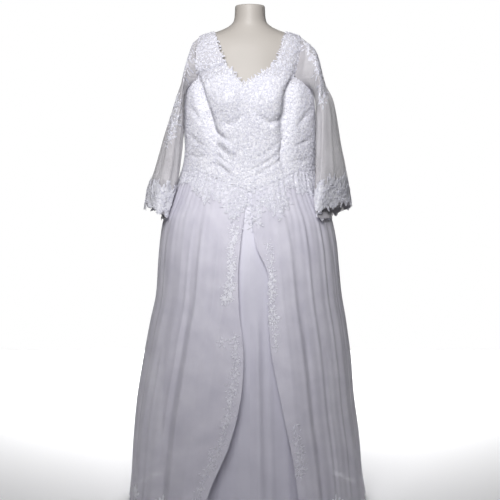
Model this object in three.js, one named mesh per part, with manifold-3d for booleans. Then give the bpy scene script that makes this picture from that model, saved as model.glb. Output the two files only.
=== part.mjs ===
// A plus-size wedding dress worn by a headless, armless dress form on a plain stand.
// Millimetres, +Z up. The front faces -Y. Left and right are as seen from the front, so left is -X.
// The floor is z = 0, and the origin is the middle of the stand's underside. Every piece of cloth
// is a thin closed wall.
import * as THREE from "three";
import { mergeVertices } from "three/addons/utils/BufferGeometryUtils.js";
import Module from "manifold-3d";

const wasm = await Module();
wasm.setup();

// ---------- Driving dimensions ----------
const SATIN = 1.4; // wall of the lined bodice and the underskirt
const NET = 1.0; // wall of the net overskirt and sleeves
const LACE = 1.2; // wall of a lace applique
const SEAM = 0.3; // gap between two pieces at a seam
const ON_CLOTH = 0.35; // gap under an applique
const LOOSE = 2.1; // gap under the lace of the cuffs and waist, which hangs free of its cloth
const HEM_Z = 12; // the overskirt's hem, just clear of the floor
const UNDER_HEM_Z = 16; // the underskirt's hem
const SIDE_WAIST_Z = 1120; // waist seam at the sides and back
const FRONT_WAIST_Z = 1056; // the point of the basque waist
const BASQUE_HALF_DEG = 45; // the waist seam dips between these angles
const CENTRE_PANEL_DEG = 30; // half angle of the centre front panel at the waist
const UNDERARM_Z = 1376;
const NECK_POINT = { x: -18, z: 1396 }; // the bottom of the V neckline
const SHOULDER = { inner: 124, outer: 159 }; // half widths of the strap on the shoulder
const WAIST_GAP = 1.2; // gap at the waist seam, where both walls flare
const ON_FORM = 3.6; // the straps' middle surface above the form
const CLEAR_OF_BODY = 5; // the sleeves' gap to the dress
const FORM_FOOT_Z = 852;
const POLE_R = 14;
const BASE = { r: 185, edge: 8, top: 16 };

// ---------- Tables of sections, heights falling ----------
// Half sizes of the form: to each side, to the front and to the back, and the curve's power.
const FORM = [
  { z: 1659, side: 50, front: 50, back: 54, power: 2 },
  { z: 1612, side: 50.5, front: 50, back: 56, power: 2 },
  { z: 1600, side: 58, front: 51, back: 59, power: 2 },
  { z: 1590, side: 70, front: 53, back: 63, power: 2 },
  { z: 1579, side: 93, front: 57, back: 68, power: 1.95 },
  { z: 1569, side: 122, front: 61, back: 74, power: 1.95 },
  { z: 1557, side: 160, front: 66, back: 81, power: 2 },
  { z: 1540, side: 178, front: 73, back: 90, power: 2.1 },
  { z: 1505, side: 186, front: 83, back: 102, power: 2.2 },
  { z: 1460, side: 180, front: 93, back: 109, power: 2.2 },
  { z: 1415, side: 165, front: 101, back: 112, power: 2.2 },
  { z: 1335, side: 146, front: 106, back: 109, power: 2.2 },
  { z: 1250, side: 131, front: 96, back: 96, power: 2.2 },
  { z: 1180, side: 119, front: 88, back: 83, power: 2.2 },
  { z: 1127, side: 116, front: 86, back: 80, power: 2.2 },
  { z: 1050, side: 135, front: 94, back: 100, power: 2.2 },
  { z: 975, side: 156, front: 104, back: 119, power: 2.2 },
  { z: 905, side: 163, front: 106, back: 120, power: 2.2 },
  { z: FORM_FOOT_Z, side: 154, front: 100, back: 110, power: 2.2 },
];
const FORM_BUST = { x: 74, z: 1338, out: 26, wide: 44, tall: 48 };

// Half sizes of the dress from armhole to hem, measured to the middle of the cloth.
const DRESS = [
  { z: 1480, left: 188, right: 186, front: 92, back: 110 },
  { z: 1430, left: 198, right: 194, front: 112, back: 121 },
  { z: 1376, left: 212, right: 207, front: 124, back: 130 },
  { z: 1335, left: 216, right: 213, front: 127, back: 131 },
  { z: 1250, left: 217, right: 217, front: 131, back: 128 },
  { z: 1180, left: 215, right: 217, front: 131, back: 127 },
  { z: 1120, left: 225, right: 217, front: 137, back: 136 },
  { z: 1060, left: 245, right: 225, front: 158, back: 156 },
  { z: 1010, left: 264, right: 244, front: 178, back: 178 },
  { z: 960, left: 284, right: 268, front: 198, back: 202 },
  { z: 880, left: 297, right: 285, front: 222, back: 232 },
  { z: 807, left: 303, right: 292, front: 238, back: 254 },
  { z: 700, left: 310, right: 302, front: 256, back: 282 },
  { z: 616, left: 328, right: 316, front: 272, back: 304 },
  { z: 484, left: 352, right: 332, front: 296, back: 334 },
  { z: 352, left: 373, right: 342, front: 318, back: 362 },
  { z: 220, left: 385, right: 359, front: 336, back: 386 },
  { z: 88, left: 392, right: 370, front: 352, back: 406 },
  { z: HEM_Z, left: 399, right: 382, front: 360, back: 418 },
];
const DRESS_BUST = { x: 76, z: 1345, out: 22, wide: 46, tall: 52 };
const DRESS_POWER = 2.15;

// Half sizes of the satin underskirt, which hangs straighter than the net over it.
const UNDERSKIRT = [
  { z: 1112, left: 221, right: 213, front: 131, back: 130 },
  { z: 1010, left: 252, right: 233, front: 168, back: 168 },
  { z: 880, left: 266, right: 246, front: 196, back: 204 },
  { z: 700, left: 274, right: 250, front: 218, back: 232 },
  { z: 500, left: 280, right: 254, front: 236, back: 252 },
  { z: 250, left: 286, right: 264, front: 254, back: 270 },
  { z: UNDER_HEM_Z, left: 292, right: 274, front: 268, back: 284 },
];

// The two deep creases beside the bust, where the wide bodice falls in between bust and side.
// Angle of each crease's floor from the front, and its depth.
const CREASES = [
  { z: 1430, leftDeg: -60, leftIn: 5, rightDeg: 51, rightIn: 12 },
  { z: 1376, leftDeg: -50, leftIn: 20, rightDeg: 39, rightIn: 26 },
  { z: 1302, leftDeg: -41, leftIn: 27, rightDeg: 34, rightIn: 26 },
  { z: 1250, leftDeg: -35, leftIn: 22, rightDeg: 31, rightIn: 20 },
  { z: 1205, leftDeg: -30.5, leftIn: 11, rightDeg: 30, rightIn: 12 },
  { z: 1150, leftDeg: -30, leftIn: 4, rightDeg: 30, rightIn: 5 },
  { z: 1040, leftDeg: -30, leftIn: 0, rightDeg: 30, rightIn: 0 },
];
const CREASE_WIDE = 19;

// The folds of the overskirt: angle of each ridge at waist and hem, its half width and height.
const FRONT_FOLDS = [
  { top: -22, hem: -33, wide: 7.5, out: 24 },
  { top: -42, hem: -51, wide: 4.5, out: 15 },
  { top: -54, hem: -64, wide: 4.5, out: 17 },
  { top: -70, hem: -78, wide: 4.5, out: 14 },
  { top: 17, hem: 29.5, wide: 4.5, out: 20 },
  { top: 31, hem: 40, wide: 4, out: 13 },
  { top: 44, hem: 51, wide: 4.5, out: 15 },
  { top: 58, hem: 65, wide: 4.5, out: 17 },
  { top: 74, hem: 79, wide: 4.5, out: 14 },
];
const BACK_FOLDS = 12; // evenly spread between the sides, by way of the back
const BACK_FOLD = { first: 92, last: 268, wide: 4.6, out: 15 };
const UNDER_FOLDS = [
  { top: -22, hem: -31, wide: 9, out: 16 },
  { top: -48, hem: -55, wide: 8, out: 12 },
  { top: 0, hem: 1.5, wide: 6, out: 9 },
  { top: 17, hem: 27, wide: 8, out: 14 },
  { top: 44, hem: 50, wide: 8, out: 12 },
];
const UNDER_BACK_FOLDS = 9;
const UNDER_BACK_FOLD = { first: 80, last: 280, wide: 9, out: 12 };

// The overskirt opens at the front in a narrow upturned V, between these angles.
const SPLIT = [
  { z: 1056, leftDeg: -1.2, rightDeg: 1.2 },
  { z: 950, leftDeg: -3.6, rightDeg: 1.6 },
  { z: 880, leftDeg: -5, rightDeg: 3.2 },
  { z: 800, leftDeg: -6, rightDeg: 9.5 },
  { z: 700, leftDeg: -5.5, rightDeg: 9.5 },
  { z: 550, leftDeg: -2.8, rightDeg: 10.5 },
  { z: 400, leftDeg: -4, rightDeg: 15 },
  { z: 260, leftDeg: -9, rightDeg: 19 },
  { z: 130, leftDeg: -17, rightDeg: 21.5 },
  { z: HEM_Z, leftDeg: -22, rightDeg: 23 },
];

// The rings of each sleeve, shoulder to wrist: the outer and inner points of its front outline,
// its half depth, how far it swings forward and how far it is turned about the vertical.
const LEFT_HAND_SLEEVE = [
  { outX: 187, outZ: 1536, inX: 217, inZ: 1362, deep: 84, forward: 2, turn: 0 },
  { outX: 204, outZ: 1484, inX: 220, inZ: 1342, deep: 88, forward: 4, turn: 0 },
  { outX: 217, outZ: 1432, inX: 222, inZ: 1314, deep: 89, forward: 6, turn: 0 },
  { outX: 238, outZ: 1366, inX: 223, inZ: 1282, deep: 88, forward: 9, turn: 0 },
  { outX: 280, outZ: 1244, inX: 229, inZ: 1200, deep: 82, forward: 15, turn: 3 },
  { outX: 300, outZ: 1178, inX: 235, inZ: 1148, deep: 80, forward: 18, turn: 6 },
  { outX: 319, outZ: 1112, inX: 242, inZ: 1092, deep: 81, forward: 22, turn: 6 },
  { outX: 338, outZ: 1062, inX: 250, inZ: 1034, deep: 83, forward: 26, turn: 7 },
  { outX: 348, outZ: 1006, inX: 258, inZ: 958, deep: 86, forward: 32, turn: 8 },
];
const RIGHT_HAND_SLEEVE = [
  { outX: 188, outZ: 1539, inX: 214, inZ: 1362, deep: 86, forward: 2, turn: 0 },
  { outX: 214, outZ: 1512, inX: 218, inZ: 1342, deep: 92, forward: 4, turn: 0 },
  { outX: 229, outZ: 1462, inX: 220, inZ: 1314, deep: 94, forward: 8, turn: 0 },
  { outX: 248, outZ: 1400, inX: 221, inZ: 1282, deep: 94, forward: 12, turn: 3 },
  { outX: 277, outZ: 1344, inX: 222, inZ: 1244, deep: 92, forward: 17, turn: 6 },
  { outX: 303, outZ: 1208, inX: 222, inZ: 1148, deep: 90, forward: 30, turn: 15 },
  { outX: 319, outZ: 1140, inX: 220, inZ: 1092, deep: 92, forward: 38, turn: 20 },
  { outX: 331, outZ: 1074, inX: 214, inZ: 1034, deep: 95, forward: 48, turn: 26 },
  { outX: 340, outZ: 1008, inX: 202, inZ: 964, deep: 99, forward: 60, turn: 32 },
];

// How far the lace below the waist hangs at each angle, before its scallops.
const BASQUE_DROPS = [
  [-180, 52], [-150, 60], [-120, 50], [-90, 62], [-80, 78], [-70, 50], [-60, 42], [-52, 48], [-46, 70],
  [-40, 62], [-36, 76], [-31, 95], [-27, 58], [-23, 74], [-19, 62], [-15, 95], [-10, 112], [-6, 90],
  [-2, 48], [2, 90], [5, 140], [8, 66], [12, 80], [16, 100], [19, 132], [22, 100], [26, 88], [29, 46],
  [32, 28], [36, 40], [40, 66], [46, 84], [50, 70], [56, 96], [60, 60], [66, 44], [74, 70], [82, 52],
  [90, 66], [120, 50], [150, 60], [180, 52],
];
const BASQUE_SCALLOP = 9;

// Sprays of lace down the overskirt: angle and height along each one, and the size of its leaves.
const TRAILS = {
  lace_trail_upper_left: {
    leaf: 50,
    path: [[-12.6, 924], [-15.2, 872], [-14.8, 824], [-13.6, 776], [-14.4, 728], [-17.2, 680]],
  },
  lace_trail_lower_left: {
    leaf: 60,
    path: [
      [-7, 600], [-7.8, 538], [-9, 476], [-11, 414], [-13.2, 352], [-15.6, 290], [-19, 228],
      [-22.6, 166], [-25, 104],
    ],
  },
  lace_trail_upper_right: {
    leaf: 50,
    path: [[8.4, 905], [13.6, 852], [14.4, 799], [12.8, 746], [13, 693], [14, 640], [15.6, 587], [18, 534]],
  },
  lace_trail_lower_right: {
    leaf: 50,
    path: [[21.8, 330], [23.6, 280], [25, 230], [25.6, 180]],
  },
};
const HEM_SPRIGS = { outer_left: -66, inner_left: -42, right: 44, back: 168 };
const HEM_SPRIG_Z = 58;

// Sprays of lace on the sleeves: a flower with leaves round it, each leaf an angle and a length.
// A spray is placed by ring, counting the seam as 0, and degrees from the top towards the front.
const SPRAY = { flower: 62, leaves: [[92, 64], [268, 68], [15, 44], [165, 44], [222, 54], [318, 54]] };
const SPRAYS = {
  left: { cap: { ring: 2, at: 48 }, arm: { ring: 4.7, at: 76 } },
  right: { cap: { ring: 2.1, at: 48 }, arm: { ring: 4, at: 76 } },
};

// ---------- Small helpers ----------
const radians = (deg) => (deg * Math.PI) / 180;
const mix = (a, b, t) => a + (b - a) * t;
const clamp01 = (t) => Math.min(1, Math.max(0, t));
const ease = (t) => clamp01(t) ** 2 * (3 - 2 * clamp01(t));

// A smooth curve through one column of a table, as a function of height.
function profile(rows, column) {
  const z = rows.map((r) => r.z);
  const v = rows.map((r) => r[column]);
  const slope = v.map((_, i) => {
    const a = Math.max(0, i - 1);
    const b = Math.min(v.length - 1, i + 1);
    return (v[b] - v[a]) / (z[b] - z[a]);
  });
  return (height) => {
    if (height >= z[0]) return v[0];
    const last = z.length - 1;
    if (height <= z[last]) return v[last];
    let i = 0;
    while (height < z[i + 1]) i++;
    const step = z[i + 1] - z[i];
    const t = (height - z[i]) / step;
    const t2 = t * t;
    const t3 = t2 * t;
    return (
      v[i] * (2 * t3 - 3 * t2 + 1) +
      v[i + 1] * (3 * t2 - 2 * t3) +
      step * (slope[i] * (t3 - 2 * t2 + t) + slope[i + 1] * (t3 - t2))
    );
  };
}
const profiles = (rows) =>
  Object.fromEntries(
    Object.keys(rows[0]).map((name) => [name, profile(rows, name)]),
  );

const form = profiles(FORM);
const dress = profiles(DRESS);
const underskirt = profiles(UNDERSKIRT);
const crease = profiles(CREASES);
const split = profiles(SPLIT);

// A point of an oval section. Degrees run from the front centre towards +X.
function oval(deg, left, right, front, back, power) {
  const s = Math.sin(radians(deg));
  const c = Math.cos(radians(deg));
  const e = 2 / power;
  return new THREE.Vector2(
    (s < 0 ? -left : right) * Math.abs(s) ** e,
    (c > 0 ? -front : back) * Math.abs(c) ** e,
  );
}

// How far two rounded breasts push a front point out.
function bust(shape, x, z) {
  const up = Math.exp(-(((z - shape.z) / shape.tall) ** 2));
  const across = (side) => Math.exp(-(((x - side * shape.x) / shape.wide) ** 2));
  return shape.out * up * (across(-1) + across(1));
}

// ---------- The surfaces ----------
function formPoint(deg, z) {
  const side = form.side(z);
  const p = oval(deg, side, side, form.front(z), form.back(z), form.power(z));
  if (p.y < 0) p.y -= bust(FORM_BUST, p.x, z) * clamp01(-p.y / 60);
  return new THREE.Vector3(p.x, p.y, z);
}

function waistZ(deg) {
  const from = Math.abs(THREE.MathUtils.euclideanModulo(deg + 180, 360) - 180);
  return mix(FRONT_WAIST_Z, SIDE_WAIST_Z, clamp01(from / BASQUE_HALF_DEG));
}

// The bodice, and the overskirt without its folds.
function shellPoint(deg, z) {
  const p = oval(deg, dress.left(z), dress.right(z), dress.front(z), dress.back(z), DRESS_POWER);
  const out = p.clone().normalize();
  if (p.y < 0) p.y -= bust(DRESS_BUST, p.x, z) * clamp01(-p.y / 60);
  for (const side of ["left", "right"]) {
    const away = radians(deg - crease[side + "Deg"](z)) * p.length();
    p.addScaledVector(out, -crease[side + "In"](z) * Math.exp(-((away / CREASE_WIDE) ** 2)));
  }
  return new THREE.Vector3(p.x, p.y, z);
}

// Ridges standing out of a skirt, growing from waist to hem.
const fallen = (z) => clamp01((SIDE_WAIST_Z - z) / (SIDE_WAIST_Z - HEM_Z));
function foldHeight(folds, deg, z) {
  const down = clamp01((waistZ(deg) - z) / (waistZ(deg) - HEM_Z));
  let sum = 0;
  for (const fold of folds) {
    const at = mix(fold.top, fold.hem, fallen(z));
    const away = THREE.MathUtils.euclideanModulo(deg - at + 180, 360) - 180;
    sum += fold.out * Math.exp(-((away / fold.wide) ** 2));
  }
  return sum * (0.14 * ease(down / 0.05) + 0.86 * down ** 0.8);
}

// Evenly spread folds whose height and spacing vary gently.
function spreadFolds(count, shape) {
  return Array.from({ length: count }, (_, i) => {
    const at = mix(shape.first, shape.last, i / (count - 1)) + 2 * Math.sin(2.3 * i);
    return { top: at, hem: at, wide: shape.wide, out: shape.out * (1 + 0.3 * Math.sin(1.7 * i)) };
  });
}
const OVER_FOLDS = [...FRONT_FOLDS, ...spreadFolds(BACK_FOLDS, BACK_FOLD)];
const INNER_FOLDS = [...UNDER_FOLDS, ...spreadFolds(UNDER_BACK_FOLDS, UNDER_BACK_FOLD)];

function overskirtPoint(deg, z) {
  const p = shellPoint(deg, z);
  const out = new THREE.Vector3(p.x, p.y, 0).normalize();
  return p.addScaledVector(out, foldHeight(OVER_FOLDS, deg, z));
}

// The underskirt starts just inside the overskirt at the waist seam, then hangs straighter.
function underskirtPoint(deg, z) {
  const { left, right, front, back } = underskirt;
  const p = oval(deg, left(z), right(z), front(z), back(z), DRESS_POWER);
  p.addScaledVector(p.clone().normalize(), foldHeight(INNER_FOLDS, deg, z));
  const top = shellPoint(deg, z);
  top.addScaledVector(new THREE.Vector3(top.x, top.y, 0).normalize(), -2.6);
  return top.lerp(new THREE.Vector3(p.x, p.y, z), ease((waistZ(deg) - z) / 160));
}

// The outward normal of a surface given by angle and height.
function normalOf(surface, deg, z) {
  const round = surface(deg + 0.5, z).sub(surface(deg - 0.5, z));
  const up = surface(deg, z + 1.5).sub(surface(deg, z - 1.5));
  return round.cross(up).normalize();
}
const on = (surface, deg, z) => ({ p: surface(deg, z), n: normalOf(surface, deg, z) });

// ---------- Walls ----------
// A closed wall between two grids of points; each grid is an array of rows. Where closed is
// true the last column joins the first.
function wall(outside, inside, closed) {
  const rows = outside.length;
  const columns = outside[0].length;
  const positions = [...outside.flat(), ...inside.flat()].flatMap((p) => p.toArray());
  const layer = rows * columns;
  const index = [];
  const quad = (a, b, c, d) => index.push(a, b, c, a, c, d);
  const spans = closed ? columns : columns - 1;
  for (let j = 0; j < spans; j++) {
    const k = (j + 1) % columns;
    for (let i = 0; i + 1 < rows; i++) {
      const [a, b, c, d] = [i * columns + j, i * columns + k, (i + 1) * columns + k, (i + 1) * columns + j];
      quad(a, b, c, d);
      quad(layer + a, layer + d, layer + c, layer + b);
    }
    quad(j, layer + j, layer + k, k);
    const top = (rows - 1) * columns;
    quad(top + j, top + k, layer + top + k, layer + top + j);
  }
  for (let i = 0; i + 1 < rows && !closed; i++) {
    const [a, d] = [i * columns, (i + 1) * columns];
    quad(a, d, layer + d, layer + a);
    const e = columns - 1;
    quad(a + e, layer + a + e, layer + d + e, d + e);
  }
  return facingOut(positions, index);
}

// Turns a closed mesh the right way round if it is inside out.
function facingOut(positions, index) {
  const at = (i) => new THREE.Vector3().fromArray(positions, 3 * i);
  let volume = 0;
  for (let t = 0; t < index.length; t += 3)
    volume += at(index[t]).dot(at(index[t + 1]).cross(at(index[t + 2])));
  if (volume < 0)
    for (let t = 0; t < index.length; t += 3) [index[t], index[t + 1]] = [index[t + 1], index[t]];
  const geometry = new THREE.BufferGeometry();
  geometry.setAttribute("position", new THREE.Float32BufferAttribute(positions, 3));
  geometry.setIndex(index);
  return geometry;
}

// A wall that lies from low to high off a grid of points with normals.
function layer(grid, low, high, closed = false) {
  const moved = (by) => grid.map((row) => row.map(({ p, n }) => p.clone().addScaledVector(n, by)));
  return wall(moved(high), moved(low), closed);
}

// A grid of surface points. place(u, v) gives the angle and height for shares across and up.
function patch(surface, columns, rows, place) {
  const grid = [];
  for (let i = 0; i <= rows; i++) {
    const row = [];
    for (let j = 0; j <= columns; j++) {
      const { deg, z } = place(j / columns, i / rows);
      row.push(on(surface, deg, z));
    }
    grid.push(row);
  }
  return grid;
}

// ---------- Bodice ----------
// Half a seam's gap as an angle at a point of the bodice.
const seamDeg = (deg, z) => ((SEAM / 2) * 180) / Math.PI / shellPoint(deg, z).length();
const bottomZ = (deg) => waistZ(deg) + WAIST_GAP;

// Top edge of the centre front panel, from one crease to the other: the share of the way
// between the creases at the top, and the height.
const CENTRE_TOP = [
  { s: 0, share: 0, z: 1428 },
  { s: 0.125, share: 0.16, z: 1440 },
  { s: 0.25, share: 0.335, z: 1461 },
  { s: 0.5, share: 0.5, z: NECK_POINT.z },
  { s: 0.75, share: 0.745, z: 1461 },
  { s: 0.875, share: 0.88, z: 1440 },
  { s: 1, share: 1, z: 1428 },
];
function alongTop(s, column) {
  const k = Math.max(1, CENTRE_TOP.findIndex((row) => row.s >= s));
  const [a, b] = [CENTRE_TOP[k - 1], CENTRE_TOP[k]];
  return mix(a[column], b[column], (s - a.s) / (b.s - a.s));
}
const CENTRE_COLUMNS = 16;
const CENTRE_ROWS = 9;
function centrePlace(s, v) {
  const low = bottomZ(mix(-CENTRE_PANEL_DEG, CENTRE_PANEL_DEG, s));
  const z = mix(low, alongTop(s, "z"), v);
  const left = crease.leftDeg(z);
  const right = crease.rightDeg(z);
  const inset = (1 - 2 * s) * seamDeg(s < 0.5 ? left : right, z);
  return { deg: mix(left, right, mix(s, alongTop(s, "share"), v ** 1.6)) + inset, z };
}
const centreGrid = patch(shellPoint, CENTRE_COLUMNS, CENTRE_ROWS, centrePlace);

// A side front panel, from its crease to the side seam. Its top is the front of the armhole.
const SIDE_COLUMNS = 8;
function sideGrid(side) {
  const sign = side === "left" ? -1 : 1;
  return patch(shellPoint, SIDE_COLUMNS, CENTRE_ROWS, (u, v) => {
    const low = bottomZ(sign * mix(CENTRE_PANEL_DEG, 90, u));
    const z = mix(low, mix(1428, UNDERARM_Z, Math.sin((u * Math.PI) / 2) ** 0.8), v);
    const from = crease[side + "Deg"](z);
    const to = sign * 90;
    const gap = sign * (1 - 2 * u) * seamDeg(from, z);
    return { deg: mix(from, to, u) + gap, z };
  });
}

// A back panel, from the side seam to the centre back. Along its top: the back of the
// armhole, the joint with the strap, then the back neckline.
const BACK_TOP = [
  { u: 0, deg: 90, z: UNDERARM_Z },
  { u: 1 / 3, deg: 119, z: 1436 },
  { u: 2 / 3, deg: 146, z: 1466 },
  { u: 1, deg: 180, z: 1452 },
];
const BACK_COLUMNS = 12;
const BACK_ROWS = 6;
function backTop(u) {
  const k = Math.max(1, BACK_TOP.findIndex((row) => row.u >= u - 1e-9));
  const [a, b] = [BACK_TOP[k - 1], BACK_TOP[k]];
  const t = (u - a.u) / (b.u - a.u);
  return { deg: mix(a.deg, b.deg, t), z: mix(a.z, b.z, t) };
}
function backGrid(sign) {
  return patch(shellPoint, BACK_COLUMNS, BACK_ROWS, (u, v) => {
    const top = backTop(u);
    const z = mix(bottomZ(180), top.z, v);
    const gap = (1 - 2 * u) * seamDeg(180, z);
    return { deg: sign * (mix(mix(90, 180, u), top.deg, v ** 1.5) + gap), z };
  });
}

// The height of the shoulder's ridge above a distance from the middle.
function ridgeZ(x) {
  let [low, high] = [1500, 1600];
  for (let i = 0; i < 40; i++) {
    const z = (low + high) / 2;
    if (form.side(z) > x) low = z;
    else high = z;
  }
  return low;
}

// A strap, over the shoulder from the centre panel's top edge to the back panel's. Rows run
// front to back; columns run from the neckline to the armhole.
const STRAP_COLUMNS = 4;
const STRAP_ROWS = 5; // on each side of the ridge
function strapGrid(sign, frontEdge, backEdge) {
  const grid = [];
  for (let i = -STRAP_ROWS; i <= STRAP_ROWS; i++) {
    const edge = i < 0 ? frontEdge : backEdge;
    const up = 1 - Math.abs(i) / STRAP_ROWS;
    grid.push(
      edge.map((start, j) => {
        const ridgeX = mix(SHOULDER.inner, SHOULDER.outer, j / STRAP_COLUMNS);
        const startX = Math.abs(start.p.x);
        const bulge = 10 * Math.sin(up * Math.PI) * mix(0.3, 1, j / STRAP_COLUMNS);
        const x = mix(startX, ridgeX, up ** 0.8) + bulge;
        const drop = (ridgeZ(startX) - start.p.z) * (1 - Math.sin((up * Math.PI) / 2));
        const z = Math.min(ridgeZ(x) - drop, ridgeZ(x) - 1e-3);
        const onForm = formAt(sign * x, z, i < 0 ? -1 : 1);
        if (i === 0) onForm.p.y = 0;
        const target = onForm.p.addScaledVector(onForm.n, ON_FORM);
        const free = ease((1 - up) * 1.25 - 0.25);
        const lift = start.p.clone().sub(formAt(start.p.x, start.p.z, i < 0 ? -1 : 1).p);
        const p = target.addScaledVector(lift, free * 0.98);
        if (Math.abs(i) === STRAP_ROWS) {
          p.copy(start.p).z += SEAM;
        }
        return { p, n: start.n.clone().lerp(onForm.n, ease(up * 2.5)).normalize() };
      }),
    );
  }
  return grid;
}

// The form's surface at a given x and height, on its front (-1) or back (1).
function formAt(x, z, face) {
  const ratio = Math.min(0.99999, Math.abs(x) / form.side(z));
  const deg = (Math.asin(ratio ** (form.power(z) / 2)) * 180) / Math.PI;
  const turned = Math.sign(x) * (face < 0 ? deg : 180 - deg);
  const p = formPoint(turned, z);
  const n = new THREE.Vector3();
  const up = formPoint(turned, z + 0.5).sub(formPoint(turned, z - 0.5));
  const round = formPoint(turned + 0.5, z).sub(formPoint(turned - 0.5, z));
  n.crossVectors(round, up).normalize();
  return { p, n };
}

// ---------- Sleeves ----------
// Outward normals for the rings of a tube, from each point's neighbours.
function withNormals(rings) {
  const columns = rings[0].length;
  const grid = rings.map((row, i) =>
    row.map((p, j) => {
      const round = row[(j + 1) % columns].clone().sub(row[(j + columns - 1) % columns]);
      const along = rings[Math.min(rings.length - 1, i + 1)][j].clone().sub(rings[Math.max(0, i - 1)][j]);
      return { p, n: round.cross(along).normalize() };
    }),
  );
  const middle = grid[Math.floor(grid.length / 2)];
  const centre = middle.reduce((sum, { p }) => sum.add(p), new THREE.Vector3()).divideScalar(columns);
  const inward = middle.reduce((sum, { p, n }) => sum + n.dot(centre.clone().sub(p)), 0) > 0;
  if (inward) for (const { n } of grid.flat()) n.negate();
  return grid;
}

// The armhole as one loop: over the strap from front to back, down the back panel's top to the
// side seam, and up the side front panel's top. The ridge of the shoulder comes first.
function armhole(strap, back, side) {
  const overStrap = strap.map((row) => row[STRAP_COLUMNS]);
  const downBack = [3, 2, 1, 0].map((j) => back[BACK_ROWS][j]);
  const upFront = Array.from({ length: SIDE_COLUMNS - 1 }, (_, i) => side[CENTRE_ROWS][SIDE_COLUMNS - 1 - i]);
  const loop = [...overStrap, ...downBack, ...upFront];
  return [...loop.slice(STRAP_ROWS), ...loop.slice(0, STRAP_ROWS)].map(({ p }) => p.clone());
}

// The share of the way round at each point: a half turn from the ridge to the side seam by way
// of the back, and a half turn home by way of the front.
const SEAM_AT = STRAP_ROWS + 4; // place of the side seam in the loop
function turnsRound(loop) {
  const length = loop.map((p, i) => p.distanceTo(loop[(i + 1) % loop.length]));
  const total = (from, to) => length.slice(from, to).reduce((a, b) => a + b, 0);
  return loop.map((_, i) =>
    i <= SEAM_AT
      ? total(0, i) / total(0, SEAM_AT) / 2
      : 0.5 + total(SEAM_AT, i) / total(SEAM_AT, loop.length) / 2,
  );
}

// Moves a sleeve point out until it is clear of the form, the bodice and the skirt's lace.
function keepClear(p, clear) {
  const deg = (Math.atan2(p.x, -p.y) * 180) / Math.PI;
  const below = p.z < UNDERARM_Z + 40 ? overskirtPoint : formPoint;
  let reach = 0;
  for (const by of [-6, -3, 0, 3, 6]) {
    const near = below(deg + by, p.z);
    reach = Math.max(reach, Math.hypot(near.x, near.y));
  }
  if (p.z < SIDE_WAIST_Z) reach += LACE + 1;
  const r = Math.hypot(p.x, p.y);
  if (r < reach + clear) p.multiply(new THREE.Vector3((reach + clear) / r, (reach + clear) / r, 1));
  return p;
}

function sleevePoints(sign, table, loop) {
  const turns = turnsRound(loop);
  const seam = loop.map((p) => {
    const out = new THREE.Vector3(sign, 0, -0.15).normalize();
    return p.clone().addScaledVector(out, SEAM + 1.3);
  });
  const rings = table.map((ring, k) => {
    const t = radians(ring.turn);
    const wide = (ring.outX - ring.inX) / 2;
    const seen = Math.sign(wide) * Math.sqrt(Math.max(wide ** 2 - (ring.deep * Math.sin(t)) ** 2, (0.4 * wide) ** 2));
    const a = seen / Math.cos(t);
    const centre = new THREE.Vector3((ring.outX + ring.inX) / 2, -ring.forward, (ring.outZ + ring.inZ) / 2);
    const rise = (ring.outZ - ring.inZ) / 2;
    return turns.map((turn) => {
      const angle = 2 * Math.PI * turn;
      const wave = 1 + 0.045 * clamp01(k / 6) * Math.cos(5 * angle + 0.8);
      const across = a * Math.cos(angle) * wave;
      const deep = ring.deep * Math.sin(angle) * wave;
      return keepClear(
        new THREE.Vector3(
          sign * (centre.x + across * Math.cos(t) + deep * Math.sin(t)),
          centre.y + across * Math.sin(t) + deep * Math.cos(t),
          centre.z + rise * Math.cos(angle),
        ),
        CLEAR_OF_BODY + Math.min(3, k) * 0.5,
      );
    });
  });
  return [seam, ...rings];
}

// ---------- The form and its stand ----------
// A closed solid through rings of points, capped flat at both ends.
function loft(rings) {
  const around = rings[0].length;
  const positions = rings.flat().flatMap((p) => p.toArray());
  const index = [];
  for (let i = 0; i + 1 < rings.length; i++)
    for (let j = 0; j < around; j++) {
      const k = (j + 1) % around;
      const [a, b, c, d] = [i * around + j, i * around + k, (i + 1) * around + k, (i + 1) * around + j];
      index.push(a, b, c, a, c, d);
    }
  for (const [start, flip] of [[0, true], [(rings.length - 1) * around, false]]) {
    const centre = positions.length / 3;
    const sum = new THREE.Vector3();
    for (let j = 0; j < around; j++) sum.add(new THREE.Vector3().fromArray(positions, 3 * (start + j)));
    positions.push(...sum.divideScalar(around).toArray());
    for (let j = 0; j < around; j++) {
      const [a, b] = [start + j, start + ((j + 1) % around)];
      index.push(centre, flip ? b : a, flip ? a : b);
    }
  }
  return facingOut(positions, index);
}
const FORM_AROUND = 30;
const FORM_HEIGHTS = [
  1659, 1656, 1612, 1599, 1588, 1577, 1567, 1556, 1540, 1510, 1470, 1430, 1390, 1355, 1320, 1280,
  1210, 1130, 1040, 940, FORM_FOOT_Z,
];
function formRing(z, share) {
  return Array.from({ length: FORM_AROUND }, (_, j) => {
    const p = formPoint((360 * j) / FORM_AROUND, Math.max(z, FORM_FOOT_Z));
    return new THREE.Vector3(p.x * share, p.y * share, z);
  });
}
function torso() {
  const foot = [[4, 0.985], [8, 0.95], [10, 0.9]].map(([down, share]) => formRing(FORM_FOOT_Z - down, share));
  return loft([...FORM_HEIGHTS.map((z, i) => formRing(z, i ? 1 : 0.95)), ...foot]);
}
const FORM_UNDERSIDE_Z = FORM_FOOT_Z - 10;
// A turned solid; its profile of radius and height starts and ends on the axis.
const turned = (outline, around) =>
  new THREE.LatheGeometry(outline.map(([r, z]) => new THREE.Vector2(r, z)), around).rotateX(Math.PI / 2);

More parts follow.
